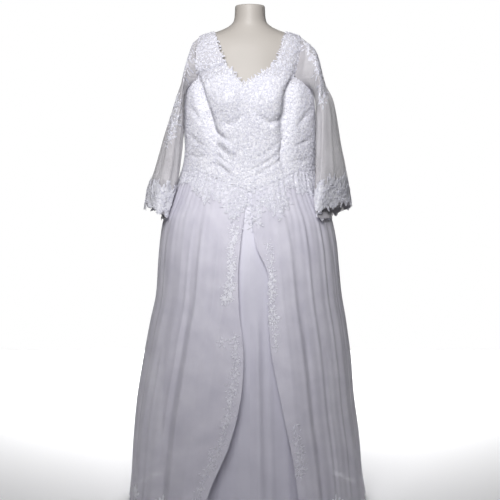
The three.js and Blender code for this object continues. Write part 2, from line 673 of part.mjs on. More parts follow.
// ---------- Skirts ----------
// Columns that follow the folds down a skirt: each fold's flanks and ridge, and the valleys.
function foldColumns(folds) {
  const wrap = (deg) => THREE.MathUtils.euclideanModulo(deg, 360);
  const ordered = folds
    .map((f) => ({ top: wrap(f.top), hem: wrap(f.hem), wide: f.wide }))
    .sort((a, b) => a.top - b.top);
  const columns = [];
  ordered.forEach((f, i) => {
    for (const side of [-0.95, 0, 0.95]) {
      columns.push({ top: f.top + side * f.wide, hem: f.hem + side * f.wide });
    }
    const next = ordered[i + 1];
    if (!next) return;
    const [from, to] = [columns.at(-1), { top: next.top - 0.95 * next.wide, hem: next.hem - 0.95 * next.wide }];
    const between = Math.max(1, Math.round((to.top - from.top) / 13));
    for (let k = 1; k <= between; k++) {
      const t = k / (between + 1);
      columns.push({ top: mix(from.top, to.top, t), hem: mix(from.hem, to.hem, t) });
    }
  });
  return columns;
}
const DOWN_SKIRT = [0, 0.035, 0.1, 0.2, 0.33, 0.5, 0.67, 0.84, 1];

const overColumns = foldColumns(OVER_FOLDS);
// Two more columns between the front opening's edge and the first fold on either side.
function overskirtGrid() {
  const place = (j, z) => {
    const at = (column) => mix(column.top, column.hem, fallen(z));
    const last = overColumns.length - 1;
    if (j < 3) return mix(split.rightDeg(z), at(overColumns[0]), j / 3);
    if (j - 3 > last) return mix(at(overColumns[last]), 360 + split.leftDeg(z), (j - 3 - last) / 3);
    return at(overColumns[j - 3]);
  };
  const count = overColumns.length + 6;
  return DOWN_SKIRT.map((v) =>
    Array.from({ length: count }, (_, j) => {
      let z = mix(waistZ(place(j, FRONT_WAIST_Z)), HEM_Z, v);
      return on(overskirtPoint, place(j, z), z);
    }),
  );
}

const UNDER_ROWS = [0, 0.04, 0.1, 0.22, 0.42, 0.7, 1];
function underskirtGrid() {
  const columns = foldColumns(INNER_FOLDS);
  const [first, last] = [columns[0], columns.at(-1)];
  const gap = 360 + first.top - last.top;
  const between = Math.round(gap / 12);
  for (let k = 1; k < between; k++) {
    const t = k / between;
    columns.push({ top: last.top + gap * t, hem: mix(last.hem, 360 + first.hem, t) });
  }
  return UNDER_ROWS.map((v) =>
    columns.map(({ top, hem }) => {
      const z = mix(waistZ(top) - 1, UNDER_HEM_Z, v);
      return on(underskirtPoint, mix(top, hem, fallen(z)), z);
    }),
  );
}

// ---------- Lace ----------
const toManifold = (geometry) => {
  const bare = new THREE.BufferGeometry().setAttribute("position", geometry.getAttribute("position"));
  if (geometry.index) bare.setIndex(geometry.index);
  const merged = mergeVertices(bare, 1e-4);
  return new wasm.Manifold(
    new wasm.Mesh({
      numProp: 3,
      vertProperties: new Float32Array(merged.attributes.position.array),
      triVerts: new Uint32Array(merged.index.array),
    }),
  );
};
function toGeometry(solid) {
  const mesh = solid.getMesh();
  const position = new Float32Array(mesh.numVert * 3);
  for (let i = 0; i < mesh.numVert; i++)
    position.set(mesh.vertProperties.subarray(i * mesh.numProp, i * mesh.numProp + 3), 3 * i);
  const geometry = new THREE.BufferGeometry();
  geometry.setAttribute("position", new THREE.BufferAttribute(position, 3));
  geometry.setIndex(new THREE.BufferAttribute(new Uint32Array(mesh.triVerts), 1));
  return geometry;
}

const LEAF = [[-0.06, 0.09], [-0.06, -0.09], [0.4, -0.23], [1, 0], [0.4, 0.23]];
const FLOWER = Array.from({ length: 10 }, (_, i) => {
  const r = i % 2 ? 0.3 : 0.56;
  return [r * Math.cos((i * Math.PI) / 5), r * Math.sin((i * Math.PI) / 5)];
});
// A leaf or flower of a given length, standing through the surface at a point. The angle runs
// from the direction round the garment towards up.
function cutter(shape, size, deg, { p, n }, reach) {
  const up = new THREE.Vector3(0, 0, 1).addScaledVector(n, -n.z).normalize();
  const round = up.clone().cross(n).normalize();
  const c = Math.cos(radians(deg)) * size;
  const s = Math.sin(radians(deg)) * size;
  const x = round.clone().multiplyScalar(c).addScaledVector(up, s);
  const y = round.clone().multiplyScalar(-s).addScaledVector(up, c);
  const outline = new THREE.Shape(shape.map(([a, b]) => new THREE.Vector2(a, b)));
  const prism = new THREE.ExtrudeGeometry(outline, { depth: 2 * reach, bevelEnabled: false });
  prism.translate(0, 0, -reach);
  prism.applyMatrix4(new THREE.Matrix4().makeBasis(x, y, n).setPosition(p));
  return toManifold(prism);
}
// The part of a wall that lies under the cutters.
function applique(cloth, cutters) {
  const pattern = wasm.Manifold.union(cutters);
  return toGeometry(toManifold(cloth).intersect(pattern));
}

// ---------- Assembly ----------
const group = new THREE.Group();
group.name = "wedding_dress_on_form";
const look = (color, roughness, opacity = 1) => ({ color, roughness, metalness: 0, opacity, transparent: opacity < 1 });
const LOOKS = {
  form: look(0xe6e2dc, 0.35),
  stand: look(0xd8d6d2, 0.4),
  satin: look(0xe2e1ec, 0.45),
  net: look(0xd9d8e6, 0.8, 0.55),
  lace: look(0xf4f4fa, 0.75),
};
function add(name, geometry, kind) {
  geometry.computeVertexNormals();
  const mesh = new THREE.Mesh(geometry, new THREE.MeshStandardMaterial(LOOKS[kind]));
  mesh.name = name;
  group.add(mesh);
}

add("form_torso", torso(), "form");
const pole = { top: FORM_UNDERSIDE_Z - SEAM, foot: BASE.top + SEAM };
add("stand_pole", turned([[0, pole.foot], [POLE_R, pole.foot], [POLE_R, pole.top], [0, pole.top]], 16), "stand");
const plate = [[0, 0], [BASE.r, 0], [BASE.r, BASE.edge], [BASE.r - 8, BASE.edge + 3], [40, BASE.top], [0, BASE.top]];
add("stand_base", turned(plate, 36), "stand");

const cloth = (grid, thick, closed) => layer(grid, -thick / 2, thick / 2, closed);
add("bodice_centre_front", cloth(centreGrid, SATIN), "satin");
const sides = { left: -1, right: 1 };
const sleeves = {};
const backs = {};
const topRow = centreGrid[CENTRE_ROWS];
for (const [side, sign] of Object.entries(sides)) {
  const front = sideGrid(side);
  const back = backGrid(sign);
  backs[side] = back;
  const frontEdge = [4, 3, 2, 1, 0].map((j) => topRow[sign < 0 ? j : CENTRE_COLUMNS - j]);
  const backEdge = [8, 7, 6, 5, 4].map((j) => back[BACK_ROWS][j]);
  const strap = strapGrid(sign, frontEdge, backEdge);
  add("bodice_side_front_" + side, cloth(front, SATIN), "satin");
  add("bodice_back_" + side, cloth(back, SATIN), "satin");
  add("shoulder_strap_" + side, cloth(strap, SATIN), "lace");
  const loop = armhole(strap, back, front);
  const table = side === "left" ? LEFT_HAND_SLEEVE : RIGHT_HAND_SLEEVE;
  const points = sleevePoints(sign, table, loop);
  sleeves[side] = withNormals(points);
  add("sleeve_" + side, cloth(sleeves[side], NET, true), "net");
}

const overskirt = overskirtGrid();
add("underskirt", cloth(underskirtGrid(), SATIN, true), "satin");
add("overskirt", cloth(overskirt, NET), "net");

// Lace below the waist: a band on the overskirt's own facets, scalloped at its lower edge.
function dropAt(deg) {
  const from = THREE.MathUtils.euclideanModulo(deg + 180, 360) - 180;
  const k = Math.max(1, BASQUE_DROPS.findIndex(([at]) => at >= from));
  const [[a, low], [b, high]] = [BASQUE_DROPS[k - 1], BASQUE_DROPS[k]];
  return mix(low, high, (from - a) / (b - a));
}
// The point of a column of a grid at a given height.
function downColumn(grid, j, z) {
  let i = 0;
  while (i + 2 < grid.length && grid[i + 1][j].p.z > z) i++;
  const [a, b] = [grid[i][j], grid[i + 1][j]];
  const t = (a.p.z - z) / (a.p.z - b.p.z);
  return { p: a.p.clone().lerp(b.p, t), n: a.n.clone().lerp(b.n, t).normalize() };
}
function basqueLace(from, to) {
  const grid = [0, 0.5, 1].map((share) => {
    const row = [];
    for (let j = from; j <= to; j++) {
      const top = overskirt[0][j].p;
      const deg = (Math.atan2(top.x, -top.y) * 180) / Math.PI;
      const drop = dropAt(deg) + (j % 2 ? BASQUE_SCALLOP : -BASQUE_SCALLOP);
      row.push(downColumn(overskirt, j, top.z - 2 - share * drop));
    }
    return row;
  });
  return layer(grid, NET / 2 + LOOSE, NET / 2 + LOOSE + LACE);
}
const lastColumn = overskirt[0].length - 1;
const backColumn = overskirt[0].findIndex(({ p }) => p.x < 0);
add("basque_lace_right", basqueLace(0, backColumn - 1), "lace");
add("basque_lace_left", basqueLace(backColumn, lastColumn), "lace");

// Sprays of leaves, each leaf reaching the next, on the columns of the overskirt near them.
const overLayer = (from, to, low, high) =>
  layer(
    overskirt.slice(low, high + 1).map((row) => row.slice(from, to + 1)),
    NET / 2 + ON_CLOTH,
    NET / 2 + ON_CLOTH + LACE,
  );
const near = (deg) => {
  const target = THREE.MathUtils.euclideanModulo(deg, 360);
  const away = ({ p }) =>
    Math.abs(THREE.MathUtils.euclideanModulo((Math.atan2(p.x, -p.y) * 180) / Math.PI, 360) - target);
  const row = overskirt.at(-1);
  return row.reduce((best, point, j) => (away(point) < away(row[best]) ? j : best), 0);
};
for (const [name, { leaf, path }] of Object.entries(TRAILS)) {
  const cutters = path.flatMap(([deg, z], i) => {
    const [nextDeg, nextZ] = path[i + 1] ?? [2 * deg - path[i - 1][0], 2 * z - path[i - 1][1]];
    const here = overskirtPoint(deg, z);
    const next = overskirtPoint(nextDeg, nextZ);
    const run = Math.hypot(next.x - here.x, next.y - here.y) * Math.sign(nextDeg - deg);
    const heading = (Math.atan2(nextZ - z, run) * 180) / Math.PI;
    const size = Math.max(leaf, 1.12 * here.distanceTo(next));
    const frame = on(overskirtPoint, deg, z);
    const side = i % 2 ? 52 : -52;
    return [
      cutter(LEAF, size, heading, frame, 26),
      cutter(LEAF, 0.8 * leaf, heading + side, frame, 26),
    ];
  });
  const right = path[0][0] > 0;
  const [from, to] = right ? [0, near(40)] : [near(-42), lastColumn];
  add(name, applique(overLayer(from, to, 2, DOWN_SKIRT.length - 1), cutters), "lace");
}
for (const [name, deg] of Object.entries(HEM_SPRIGS)) {
  const frame = on(overskirtPoint, deg, HEM_SPRIG_Z);
  const cutters = [
    cutter(LEAF, 44, 90, frame, 30),
    cutter(LEAF, 38, 35, frame, 30),
    cutter(LEAF, 38, 145, frame, 30),
  ];
  const j = near(deg);
  add("hem_sprig_" + name, applique(overLayer(Math.max(0, j - 6), Math.min(lastColumn, j + 6), DOWN_SKIRT.length - 3, DOWN_SKIRT.length - 1), cutters), "lace");
}

// Lace on the sleeves.
function spray(side, { ring, at }) {
  const grid = sleeves[side];
  const low = NET / 2 + ON_CLOTH;
  const turns = turnsRound(grid[0].map(({ p }) => p));
  const share = THREE.MathUtils.euclideanModulo(-at / 360, 1);
  const away = (t) => Math.abs(t - share);
  const j = turns.reduce((best, t, k) => (away(t) < away(turns[best]) ? k : best), 0);
  const i = Math.floor(ring);
  const frame = {
    p: grid[i][j].p.clone().lerp(grid[i + 1][j].p, ring - i),
    n: grid[i][j].n.clone().lerp(grid[i + 1][j].n, ring - i).normalize(),
  };
  const cutters = SPRAY.leaves.map(([deg, size]) => cutter(LEAF, size, deg, frame, 16));
  cutters.push(cutter(FLOWER, SPRAY.flower, 18, frame, 16));
  return applique(layer(grid, low, low + LACE, true), cutters);
}
// The lace cuff: a band round the sleeve's end that hangs past it, scalloped at both edges.
const CUFF_ROWS = [[-1.45, -0.16], [-1, 0], [0, 0], [0.32, 0.13]]; // rings past the end, tooth
function cuff(side) {
  const grid = sleeves[side];
  const last = grid.length - 1;
  const columns = grid[0].length;
  const between = (row, j) => {
    const [a, b] = [row[Math.floor(j / 2) % columns], row[Math.ceil(j / 2) % columns]];
    return { p: a.p.clone().lerp(b.p, 0.5), n: a.n.clone().lerp(b.n, 0.5).normalize() };
  };
  const rows = [];
  for (const [past, tooth] of CUFF_ROWS) {
    rows.push(
      Array.from({ length: 2 * columns }, (_, j) => {
        const at = last + past + (j % 2 ? tooth : -tooth);
        const k = Math.min(last - 1, Math.floor(at));
        const [a, b] = [between(grid[k], j), between(grid[k + 1], j)];
        const n = a.n.clone().lerp(b.n, Math.min(1, at - k)).normalize();
        return { p: a.p.clone().addScaledVector(b.p.clone().sub(a.p), at - k), n };
      }),
    );
  }
  const low = NET / 2 + LOOSE;
  return layer(rows, low, low + LACE, true);
}
for (const side of Object.keys(sides)) {
  add("sleeve_cap_lace_" + side, spray(side, SPRAYS[side].cap), "lace");
  add("sleeve_arm_lace_" + side, spray(side, SPRAYS[side].arm), "lace");
  add("sleeve_cuff_lace_" + side, cuff(side), "lace");
}

// The placket over the closure at the centre back.
const edge = (grid, t) => grid.map((row) => {
  const [a, b] = [row[BACK_COLUMNS - 1], row[BACK_COLUMNS]];
  return { p: a.p.clone().lerp(b.p, t), n: a.n.clone().lerp(b.n, t).normalize() };
});
const [rightBack, leftBack] = [backs.right, backs.left];
const placket = edge(rightBack, 0.35).map((start, i) => [
  start, edge(rightBack, 1)[i], edge(leftBack, 1)[i], edge(leftBack, 0.35)[i],
]);
add("back_placket", layer(placket, SATIN / 2 + ON_CLOTH, SATIN / 2 + ON_CLOTH + SATIN), "satin");

export default group;
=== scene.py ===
# %% [markdown]
# # A wedding dress on a dress form
# The dress has a lined bodice covered with beaded lace, sheer net sleeves with lace caps and
# cuffs, and a wide net overskirt that opens over a satin underskirt. A plain dress form holds it.
# The CAD model is the frame: each sheet of cloth below lies on the form of its CAD solid, and
# takes that solid's place in the picture. Lace, sequins, beads and stitches are laid on the
# cloth.

import math

import bpy
import numpy as np
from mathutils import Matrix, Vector


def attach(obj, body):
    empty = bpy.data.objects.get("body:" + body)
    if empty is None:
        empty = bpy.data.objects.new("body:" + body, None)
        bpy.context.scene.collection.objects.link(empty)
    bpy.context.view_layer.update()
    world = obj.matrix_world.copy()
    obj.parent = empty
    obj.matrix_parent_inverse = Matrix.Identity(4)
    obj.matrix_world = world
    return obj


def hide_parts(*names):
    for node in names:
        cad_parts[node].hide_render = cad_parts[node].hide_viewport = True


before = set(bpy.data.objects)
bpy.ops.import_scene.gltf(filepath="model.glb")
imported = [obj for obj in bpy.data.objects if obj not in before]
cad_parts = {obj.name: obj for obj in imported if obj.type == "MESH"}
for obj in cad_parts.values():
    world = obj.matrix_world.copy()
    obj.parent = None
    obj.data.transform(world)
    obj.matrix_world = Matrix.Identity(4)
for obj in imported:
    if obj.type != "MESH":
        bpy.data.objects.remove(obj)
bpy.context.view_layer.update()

# %% [markdown]
# ## Surfaces from tables
# A dressmaker shapes cloth by measures taken at a few heights: half the width to each side, and
# half the depth to the front and the back. A smooth curve through each column of such a table
# gives the measures at any height, and an oval through them gives the section. These tables are
# the ones that the CAD model is built from, in millimetres, so cloth made here lies on its solid.

# %% Curves and ovals
HEM, SIDE_WAIST, FRONT_WAIST, UNDERARM = 12, 1120, 1056, 1376
SATIN_HEM = 16


def mix(a, b, t):
    return a + (b - a) * t


def ease(t):
    """From 0 to 1, starting and ending gently."""
    t = np.clip(t, 0, 1)
    return t * t * (3 - 2 * t)


def smooth_curve(at, values):
    """A smooth curve through values at falling heights."""
    z, v = np.array(at, float), np.array(values, float)
    near = np.arange(len(z))
    above, below = np.maximum(near - 1, 0), np.minimum(near + 1, len(z) - 1)
    slope = (v[below] - v[above]) / (z[below] - z[above])

    def curve(height):
        h = np.clip(height, z[-1], z[0])
        i = np.clip(np.searchsorted(-z, -h, side="right") - 1, 0, len(z) - 2)
        step = z[i + 1] - z[i]
        t = (h - z[i]) / step
        bend = step * (slope[i] * (t**3 - 2 * t**2 + t) + slope[i + 1] * (t**3 - t**2))
        return v[i] + (v[i + 1] - v[i]) * (3 * t**2 - 2 * t**3) + bend

    return curve


def profiles(names, rows):
    """One smooth curve for each named column; the first column holds the heights."""
    columns = np.array(rows, float).T
    return {name: smooth_curve(columns[0], c) for name, c in zip(names.split(), columns[1:])}


def oval(deg, left, right, front, back, power=2.15):
    """A point of an oval section. Degrees run from the front centre towards +X."""
    s, c = np.sin(np.radians(deg)), np.cos(np.radians(deg))
    x = np.where(s < 0, -left, right) * np.abs(s) ** (2 / power)
    return x, np.where(c > 0, -front, back) * np.abs(c) ** (2 / power)


# %% Tables of the form and the dress
FORM = profiles(
    "side front back power",
    [
        (1659, 50, 50, 54, 2), (1612, 50.5, 50, 56, 2), (1600, 58, 51, 59, 2), (1590, 70, 53, 63, 2),
        (1579, 93, 57, 68, 1.95), (1569, 122, 61, 74, 1.95), (1557, 160, 66, 81, 2),
        (1540, 178, 73, 90, 2.1), (1505, 186, 83, 102, 2.2), (1460, 180, 93, 109, 2.2),
        (1415, 165, 101, 112, 2.2), (1335, 146, 106, 109, 2.2), (1250, 131, 96, 96, 2.2),
        (1180, 119, 88, 83, 2.2), (1127, 116, 86, 80, 2.2), (1050, 135, 94, 100, 2.2),
        (975, 156, 104, 119, 2.2), (905, 163, 106, 120, 2.2), (852, 154, 100, 110, 2.2),
    ],
)
DRESS = profiles(
    "left right front back",
    [
        (1480, 188, 186, 92, 110), (1430, 198, 194, 112, 121), (1376, 212, 207, 124, 130),
        (1335, 216, 213, 127, 131), (1250, 217, 217, 131, 128), (1180, 215, 217, 131, 127),
        (1120, 225, 217, 137, 136), (1060, 245, 225, 158, 156), (1010, 264, 244, 178, 178),
        (960, 284, 268, 198, 202), (880, 297, 285, 222, 232), (807, 303, 292, 238, 254),
        (700, 310, 302, 256, 282), (616, 328, 316, 272, 304), (484, 352, 332, 296, 334),
        (352, 373, 342, 318, 362), (220, 385, 359, 336, 386), (88, 392, 370, 352, 406),
        (HEM, 399, 382, 360, 418),
    ],
)
UNDERSKIRT = profiles(
    "left right front back",
    [
        (1112, 221, 213, 131, 130), (1010, 252, 233, 168, 168), (880, 266, 246, 196, 204),
        (700, 274, 250, 218, 232), (500, 280, 254, 236, 252), (250, 286, 264, 254, 270),
        (SATIN_HEM, 292, 274, 268, 284),
    ],
)
# The two deep creases beside the bust: the angle of each one's floor, and its depth.
CREASE = profiles(
    "left_deg left_in right_deg right_in",
    [
        (1430, -60, 5, 51, 12), (1376, -50, 20, 39, 26), (1302, -41, 27, 34, 26),
        (1250, -35, 22, 31, 20), (1205, -30.5, 11, 30, 12), (1150, -30, 4, 30, 5),
        (1040, -30, 0, 30, 0),
    ],
)
# Where the overskirt opens at the front.
SPLIT = profiles(
    "left right",
    [
        (1056, -1.2, 1.2), (950, -3.6, 1.6), (880, -5, 3.2), (800, -6, 9.5), (700, -5.5, 9.5),
        (550, -2.8, 10.5), (400, -4, 15), (260, -9, 19), (130, -17, 21.5), (HEM, -22, 23),
    ],
)

# %% [markdown]
# ## Folds and creases
# A wide net skirt gathered at the waist hangs in folds that spread and deepen towards the hem.
# Each fold here is a ridge with its own angle at waist and hem, width and height. A fitted
# bodice does the opposite: it has short creases where the cloth is too wide for the form. They
# are grooves along lines drawn on the front and the back of the bodice.

# %% Folds of the skirts
# Angle of the ridge at the waist and at the hem, half width in degrees, and height.
BROAD_FOLDS = [
    (-22, -33, 9.5, 22), (-42, -51, 6, 12), (-54, -64, 6.5, 15), (-70, -78, 6, 12),
    (17, 29.5, 6.5, 18), (31, 40, 5.5, 10), (44, 51, 6.5, 13), (58, 65, 6.5, 15), (74, 79, 6, 12),
]
UNDER_FOLDS = [(-22, -31, 9, 16), (-48, -55, 8, 12), (0, 1.5, 6, 9), (17, 27, 8, 14), (44, 50, 8, 12)]


def spread_folds(count, first, last, wide, out):
    """Evenly spread folds whose height and spacing vary gently."""
    folds = []
    for i in range(count):
        at = mix(first, last, i / (count - 1)) + 2 * np.sin(2.3 * i)
        folds.append((at, at, wide, out * (1 + 0.3 * np.sin(1.7 * i))))
    return folds


OVER_FOLDS = BROAD_FOLDS + spread_folds(12, 92, 268, 4.6, 15)
INNER_FOLDS = UNDER_FOLDS + spread_folds(9, 80, 280, 9, 12)
DIP_DEG = 45  # the waist seam dips to the front over this angle to each side
# A fold has the first share of its height soon under the waist, and the rest by the hem.
WAIST_SHARE, HEM_SHARE = 0.14, 0.86


def waist_z(deg):
    """The height of the waist seam."""
    away = np.abs((np.asarray(deg, float) + 180) % 360 - 180)
    return mix(FRONT_WAIST, SIDE_WAIST, np.clip(away / DIP_DEG, 0, 1))


def fold_height(folds, deg, z):
    """How far the broad folds stand out."""
    fallen = np.clip((SIDE_WAIST - z) / (SIDE_WAIST - HEM), 0, 1)
    down = np.clip((waist_z(deg) - z) / (waist_z(deg) - HEM), 0, 1)
    total = 0
    for top, hem, wide, out in folds:
        away = (deg - mix(top, hem, fallen) + 180) % 360 - 180
        total = total + out * np.exp(-((away / wide) ** 2))
    return total * (WAIST_SHARE * ease(down / 0.05) + HEM_SHARE * down**0.8)


# %% Sharper folds and gathers
# Sharper folds of the net: angle at waist and hem, half width in degrees, height, and the
# heights between which each one shows.
SHARP_FOLDS = [
    (-8, -25, 2, 3.5, 900, 12), (-14, -29.5, 1.7, 3, 1010, 12), (-26, -38, 1.9, 3.5, 1040, 12),
    (-31, -43.5, 2, -3, 760, 12), (-35, -46, 1.6, 2.5, 1060, 330), (-47, -57, 1.9, 3.5, 620, 12),
    (-60, -69, 2, 3, 1040, 12), (-66, -73, 1.7, 3, 500, 12), (13, 25.5, 1.6, 3, 880, 12),
    (21, 33.5, 1.7, 3.5, 1020, 12), (26, 36.5, 1.6, -2.5, 700, 60), (35, 44, 1.7, 3.5, 1060, 12),
    (39.5, 47.5, 1.6, 2.5, 560, 12), (50, 57, 1.9, 3.5, 1050, 12), (64, 70, 1.9, 3, 900, 12),
    (69, 74, 1.6, 2.5, 1060, 240), (83, 86, 2, 3.5, 1040, 12), (-84, -88, 2, 3, 1000, 12),
]
random = np.random.default_rng(7)
for at in np.arange(94, 268, 6.1):
    lean, wide, out = random.uniform(-2, 2), random.uniform(1.4, 2.3), random.uniform(2, 4.5)
    SHARP_FOLDS.append((at, at + lean, wide, out, random.uniform(500, 1080), random.choice([12, 12, 280])))
# Sharper folds of the satin, of which the narrow one at the front shows most.
SATIN_FOLDS = [
    (3, 5, 1.9, 12, 700, 16), (-3, -5.5, 2.2, 6, 880, 16), (-12, -15, 2, 6, 900, 16),
    (9, 12, 1.6, 5, 760, 16), (21, 21, 2, 6, 900, 16), (-20, -24, 2, 5, 800, 100),
]
# Millimetres over which a sharper fold grows at its top and dies away past its lower end.
FOLD_GROWS, FOLD_ENDS = 160, 80


def sharp_height(folds, deg, z):
    """How far the sharper folds stand out."""
    fallen = np.clip((SIDE_WAIST - z) / (SIDE_WAIST - HEM), 0, 1)
    total = 0
    for top, hem, wide, out, start, stop in folds:
        away = (deg - mix(top, hem, fallen) + 180) % 360 - 180
        shown = ease((start - z) / FOLD_GROWS) * ease((z - stop + FOLD_ENDS) / FOLD_ENDS)
        total = total + out * shown * np.exp(-((away / wide) ** 2))
    return total


def gathers(deg, z):
    """The small gathers just under the waist seam: waves of 71 and of 43 round the waist."""
    fall = np.clip(waist_z(deg) - z, 0, None)
    wave = np.sin(np.radians(deg) * 71) + 0.6 * np.sin(np.radians(deg) * 43 + 1.1)
    return 1.3 * wave * ease(fall / 12) * np.exp(-fall / 130)


# %% Creases of the bodice
# Depth, half width, and the points of each groove seen from the front: x and height. A
# negative depth is a raised fold.
FRONT_CREASES = [
    (8, 7, [(-124, 1255), (-98, 1230), (-68, 1213)]),
    (-6, 7, [(-108, 1217), (-78, 1203), (-46, 1172)]),
    (5, 6, [(-112, 1197), (-84, 1180), (-58, 1150)]),
    (-5, 6, [(-110, 1160), (-84, 1141), (-56, 1116)]),
    (5, 5, [(-120, 1176), (-98, 1159), (-74, 1140)]),
    (5, 5, [(-118, 1142), (-92, 1126), (-66, 1106)]),
    (3, 5, [(-38, 1196), (-44, 1160), (-36, 1122)]),
    (4, 9, [(-96, 1278), (-70, 1266), (-40, 1276), (-18, 1300)]),
    (7, 9, [(18, 1304), (36, 1288), (64, 1269), (94, 1280), (116, 1306)]),
    (4, 6, [(-6, 1090), (40, 1112), (86, 1142), (124, 1174)]),
    (3.5, 6, [(4, 1118), (50, 1142), (94, 1174), (126, 1206)]),
    (3, 6, [(18, 1152), (58, 1178), (98, 1212)]),
    (3, 6, [(-14, 1082), (-54, 1098), (-96, 1120)]),
    (8, 7, [(112, 1244), (104, 1196), (102, 1156), (108, 1126)]),
    (3, 7, [(0, 1330), (-4, 1270), (2, 1210)]),
    (5, 8, [(-200, 1330), (-172, 1292), (-150, 1252)]),
    (4, 7, [(-204, 1240), (-178, 1214), (-150, 1196)]),
    (4, 7, [(-200, 1170), (-170, 1160), (-138, 1166)]),
    (5, 8, [(198, 1318), (172, 1280), (146, 1252)]),
    (4, 7, [(204, 1228), (176, 1206), (146, 1196)]),
    (4, 6, [(196, 1160), (168, 1148), (136, 1150)]),
]
BACK_CREASES = [
    (4, 8, [(-150, 1350), (-100, 1322), (-40, 1330)]),
    (4, 8, [(160, 1340), (104, 1316), (40, 1322)]),
    (5, 7, [(-196, 1240), (-140, 1214), (-70, 1206), (-14, 1220)]),
    (4, 7, [(-186, 1190), (-120, 1172), (-40, 1176)]),
    (3.5, 6, [(-150, 1150), (-84, 1140), (-12, 1150)]),
    (5, 7, [(198, 1246), (150, 1222), (70, 1210), (12, 1218)]),
    (4, 7, [(180, 1196), (110, 1176), (26, 1184)]),
    (3, 6, [(140, 1148), (80, 1140), (20, 1144)]),
    (3, 8, [(-60, 1420), (-70, 1380), (-58, 1340)]),
    (3, 8, [(64, 1416), (76, 1372), (60, 1336)]),
]


def groove_depth(creases, x, z):
    """How far the creases push in the cloth at x and z."""
    total = np.zeros(np.shape(x))
    for depth, wide, line in creases:
        line = np.array(line, float)
        steps = np.diff(line, axis=0)
        lengths = np.hypot(*steps.T)
        starts = np.concatenate([[0], np.cumsum(lengths)])
        nearest, along = np.full(np.shape(x), 1e9), np.zeros(np.shape(x))
        for (ax, az), step, length, start in zip(line, steps, lengths, starts):
            t = np.clip(((x - ax) * step[0] + (z - az) * step[1]) / length**2, 0, 1)
            away = np.hypot(x - ax - t * step[0], z - az - t * step[1])
            along = np.where(away < nearest, (start + t * length) / starts[-1], along)
            nearest = np.minimum(nearest, away)
        taper = np.sin(np.pi * np.clip(along, 0.04, 0.96)) ** 0.6
        total += depth * taper * np.exp(-((nearest / wide) ** 2))
    return total


# %% The surfaces of the dress
BUST_FADES = 60  # the bust fades out this far from the middle of the body
CREASE_WIDE = 19  # half width of the two deep creases
PLAIN_EDGE = 14  # the bodice's creases grow over this height above the waist seam
# The satin starts inside the waist seam, and its own shape grows over this drop.
SATIN_INSIDE, SATIN_GROWS = 2.6, 160
# At the front it lies this share of the way to the net, less and less between two angles.
SATIN_TO_NET, TO_NET_ENDS, TO_NET_FADES = 0.38, 80, 45


def bust(x, z, at_x, at_z, out, wide, tall):
    """How far both sides of the bust stand out at x and z."""
    across = sum(np.exp(-(((x - side * at_x) / wide) ** 2)) for side in (-1, 1))
    return out * np.exp(-(((z - at_z) / tall) ** 2)) * across


def form_point(deg, z):
    """The dress form."""
    side = FORM["side"](z)
    x, y = oval(deg, side, side, FORM["front"](z), FORM["back"](z), FORM["power"](z))
    out = bust(x, z, at_x=74, at_z=1338, out=26, wide=44, tall=48)
    y = y - np.where(y < 0, out * np.clip(-y / BUST_FADES, 0, 1), 0)
    return np.stack(np.broadcast_arrays(x, y, z), -1).astype(float)


def shell_point(deg, z):
    """The bodice, and the overskirt without its folds."""
    deg, z = np.broadcast_arrays(np.asarray(deg, float), np.asarray(z, float))
    x, y = oval(deg, *(DRESS[name](z) for name in ("left", "right", "front", "back")))
    out_x, out_y = x / np.hypot(x, y), y / np.hypot(x, y)
    out = bust(x, z, at_x=76, at_z=1345, out=22, wide=46, tall=52)
    y = y - np.where(y < 0, out * np.clip(-y / BUST_FADES, 0, 1), 0)
    for side in ("left", "right"):
        away = np.radians(deg - CREASE[side + "_deg"](z)) * np.hypot(x, y)
        depth = CREASE[side + "_in"](z) * np.exp(-((away / CREASE_WIDE) ** 2))
        x, y = x - out_x * depth, y - out_y * depth
    return np.stack([x, y, z], -1)


# %% Cloth with its folds and creases
def pushed(points, by):
    """Points moved out from the middle of the dress."""
    out = points[..., :2] / np.linalg.norm(points[..., :2], axis=-1, keepdims=True)
    moved = points.copy()
    moved[..., :2] += out * np.asarray(by)[..., None]
    return moved


def bodice_point(deg, z):
    """The bodice with its creases."""
    p = shell_point(deg, z)
    x, y, z = p[..., 0], p[..., 1], p[..., 2]
    front, back = groove_depth(FRONT_CREASES, x, z), groove_depth(BACK_CREASES, x, z)
    clear_of_edge = ease((z - waist_z(deg)) / PLAIN_EDGE)
    return pushed(p, -np.where(y < 0, front, back) * clear_of_edge)


def overskirt_point(deg, z, fine=True):
    """The net skirt, with or without its sharper folds and gathers."""
    extra = sharp_height(SHARP_FOLDS, deg, z) + gathers(deg, z) if fine else 0
    return pushed(shell_point(deg, z), fold_height(OVER_FOLDS, deg, z) + extra)


def underskirt_point(deg, z):
    """The satin skirt."""
    deg, z = np.broadcast_arrays(np.asarray(deg, float), np.asarray(z, float))
    x, y = oval(deg, *(UNDERSKIRT[name](z) for name in ("left", "right", "front", "back")))
    extra = sharp_height(SATIN_FOLDS, deg, z)
    hung = pushed(np.stack([x, y, z], -1), fold_height(INNER_FOLDS, deg, z) + extra)
    away = np.abs((deg + 180) % 360 - 180)
    to_net = SATIN_TO_NET * ease((TO_NET_ENDS - away) / TO_NET_FADES)
    hung = mix(hung, shell_point(deg, z), to_net[..., None])
    top = pushed(shell_point(deg, z), np.full(z.shape, -SATIN_INSIDE))
    return mix(top, hung, ease((waist_z(deg) - z) / SATIN_GROWS)[..., None])


# %% [markdown]
# ## A sheet of cloth in the computer
# A sheet is kept as a fine grid of points with the direction that faces outwards at each one.
# From it come the thin wall that is shown, a flat pattern for the weave, and places for lace:
# a motif is laid on the sheet point by point, so that it follows every fold.



